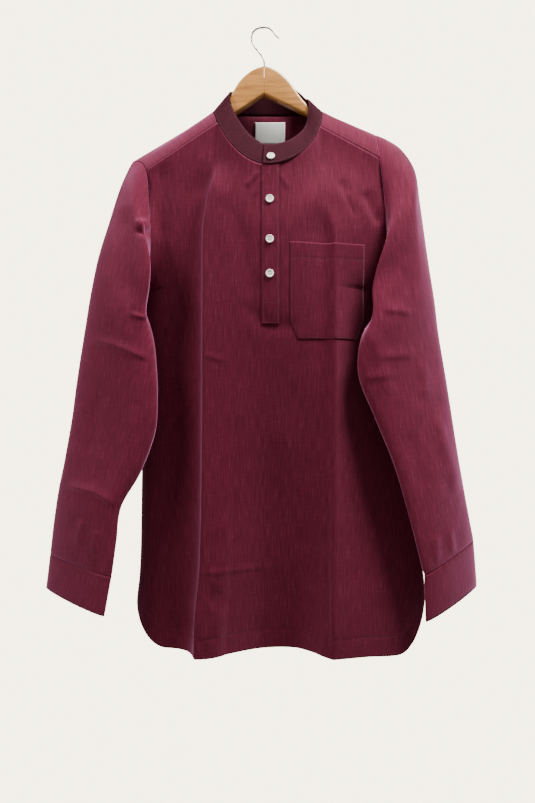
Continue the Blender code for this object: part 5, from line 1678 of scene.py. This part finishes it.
def varnished_wood():
    """Light hardwood, flat sawn along each arm, under clear varnish. Its rings are 6 to 8 mm wide, and its
    pores, which are really 0.2 mm, are drawn 0.7 mm wide."""
    made, tree, shader = new_material(
        "varnished_light_hardwood",
        **{"Roughness": 0.42, "Coat Weight": 0.5, "Coat Roughness": 0.18, "IOR": 1.5},
    )
    place = add(tree, "ShaderNodeTexCoord").outputs["Object"]
    long_map = add(tree, "ShaderNodeMapping", {"Vector": place, "Scale": (14, 120, 170)}).outputs["Vector"]
    rings = add(tree, "ShaderNodeTexNoise", {"Vector": long_map, "Scale": 1.0, "Detail": 5.0}).outputs["Fac"]
    pore_map = add(tree, "ShaderNodeMapping", {"Vector": place, "Scale": (60, 1400, 1400)}).outputs["Vector"]
    pores = add(tree, "ShaderNodeTexNoise", {"Vector": pore_map, "Scale": 1.0, "Detail": 2.0}).outputs["Fac"]
    grain = ramp(tree, rings, (0.30, "#8e5a22"), (0.5, "#a8702f"), (0.72, "#b98240"))
    fine = ramp(tree, pores, (0.36, 0.80), (0.52, 1.0))
    mixed = add(tree, "ShaderNodeMix", {0: 1.0, 6: grain, 7: fine}, data_type="RGBA", blend_type="MULTIPLY")
    tree.links.new(mixed.outputs[2], shader.inputs["Base Color"])
    bump = add(tree, "ShaderNodeBump", {"Height": pores, "Strength": 0.12, "Distance": 0.0003})
    tree.links.new(bump.outputs["Normal"], shader.inputs["Normal"])
    return made


def plated_wire():
    """Zinc-plated steel wire, drawn and bent."""
    made, tree, shader = new_material("zinc_plated_wire", **{"Metallic": 1.0, "Roughness": 0.3})
    place = add(tree, "ShaderNodeTexCoord").outputs["Object"]
    dull = add(tree, "ShaderNodeTexNoise", {"Vector": place, "Scale": 300.0, "Detail": 3.0}).outputs["Fac"]
    tree.links.new(ramp(tree, dull, (0.3, "#8f8e8b"), (0.7, "#c2c0bb")), shader.inputs["Base Color"])
    tree.links.new(ramp(tree, dull, (0.3, 0.24), (0.7, 0.42)), shader.inputs["Roughness"])
    return made


# Floor, light and camera

CAMERA_PLACE = (0.006, -1.2, -0.5595)
CAMERA_LENS = 35.87
FLOOR_Z = -1.55
FLOOR_RADIUS = 0.75
CHEST = (0.0, 0.0, -0.45)
LAMP_DISTANCE = 1.9
ROOM_LIGHT = 0.5
WALL_BRIGHTNESS = 7.0


def make_stage():
    """A plain pale floor well below the tunic."""
    surface, tree, shader = new_material("pale_floor_paint", **{"Roughness": 0.9})
    place = add(tree, "ShaderNodeTexCoord").outputs["Object"]
    mottle = add(tree, "ShaderNodeTexNoise", {"Vector": place, "Scale": 3.0}).outputs["Fac"]
    tree.links.new(ramp(tree, mottle, (0.3, "#dedad0"), (0.7, "#e6e2d9")), shader.inputs["Base Color"])
    bm = bmesh.new()
    at = Matrix.Translation((0, 0, FLOOR_Z))
    bmesh.ops.create_circle(bm, cap_ends=True, segments=96, radius=FLOOR_RADIUS, matrix=at)
    mesh = bpy.data.meshes.new("floor")
    bm.to_mesh(mesh)
    bm.free()
    mesh.materials.append(surface)
    floor = bpy.data.objects.new("floor", mesh)
    bpy.context.scene.collection.objects.link(floor)


def make_light(name, azimuth, elevation, size, power, tint):
    """A round soft lamp on a ring round the chest. Azimuth 0 is in front, 90 at the wearer's left."""
    lamp = bpy.data.lights.new(name, "AREA")
    lamp.shape = "DISK"
    lamp.size = size
    lamp.energy = power
    lamp.color = colour(tint)[:3]
    turn, up = math.radians(azimuth), math.radians(elevation)
    away = Vector((math.sin(turn) * math.cos(up), -math.cos(turn) * math.cos(up), math.sin(up)))
    made = bpy.data.objects.new(name, lamp)
    made.location = Vector(CHEST) + away * LAMP_DISTANCE
    made.rotation_euler = away.to_track_quat("Z", "Y").to_euler()
    bpy.context.scene.collection.objects.link(made)


def make_lights():
    """An even pale room whose seen brightness is a white wall's, a high lamp at one side, a soft one
    opposite and one behind."""
    world = bpy.data.worlds.new("pale_studio")
    bpy.context.scene.world = world
    world.use_nodes = True
    tree = world.node_tree
    room = tree.nodes["Background"]
    room.inputs["Color"].default_value = colour("#f0ece6")
    room.inputs["Strength"].default_value = ROOM_LIGHT
    wall = tree.nodes.new("ShaderNodeBackground")
    wall.inputs["Color"].default_value = colour("#f2e6cc")
    wall.inputs["Strength"].default_value = WALL_BRIGHTNESS
    seen = tree.nodes.new("ShaderNodeLightPath").outputs["Is Camera Ray"]
    either = tree.nodes.new("ShaderNodeMixShader")
    tree.links.new(seen, either.inputs[0])
    tree.links.new(room.outputs[0], either.inputs[1])
    tree.links.new(wall.outputs[0], either.inputs[2])
    tree.links.new(either.outputs[0], tree.nodes["World Output"].inputs["Surface"])
    make_light("high_lamp", 60, 60, 0.6, 123, "#fffaf2")
    make_light("side_lamp", -65, 40, 0.6, 46, "#fffaf2")
    make_light("rear_lamp", 175, 22, 1.0, 45, "#fffaf2")


def make_camera():
    """The photograph's view: level, from straight in front."""
    lens = bpy.data.cameras.new("photo_view")
    lens.lens = CAMERA_LENS
    lens.sensor_width = 36
    made = bpy.data.objects.new("photo_view", lens)
    made.location = CAMERA_PLACE
    made.rotation_euler = (math.radians(90), 0, 0)
    bpy.context.scene.collection.objects.link(made)
    bpy.context.scene.camera = made


def main():
    cloth = slub_cotton()
    # The collar's copy of the cloth is painted far darker, as painted shade on the band, and has less sheen
    painted_shade_cloth = slub_cotton("wine_slub_cotton_fused", 0.30, 0.12)
    # The yoke, sleeves and cuffs get a copy of the cloth with more sheen, painted a little paler than the
    # body as painted light on the shoulders and sleeves
    painted_light_cloth = slub_cotton("wine_slub_cotton_brushed", 1.20, 0.65)
    thread, pale_thread = sewing_thread(), white_thread()
    shell, woven, wood, steel = shell_button(), woven_label(), varnished_wood(), plated_wire()
    yoke = make_yoke(painted_light_cloth)
    front, back, collar = make_front(cloth), make_back(cloth), make_collar(painted_shade_cloth)
    placket_upper, placket_under = make_plackets(cloth)
    pocket = make_pocket(cloth)
    label = make_label(woven)
    placket_stitches, pocket_stitches, hem_stitches = sew_front(thread)
    collar_stitches, yoke_stitches = sew_body(thread)
    arms = [make_arm(side, wood) for side in ("right", "left")]
    make_hook(steel)
    for name, place, outward in button_places():
        make_button(name, place, outward, shell, pale_thread)
    for side in ("right", "left"):
        sleeve, cuff = make_sleeve(side, painted_light_cloth), make_cuff(side, painted_light_cloth)
        stitches = sew_sleeve(side, thread)
    make_stage()
    make_lights()
    make_camera()


main()
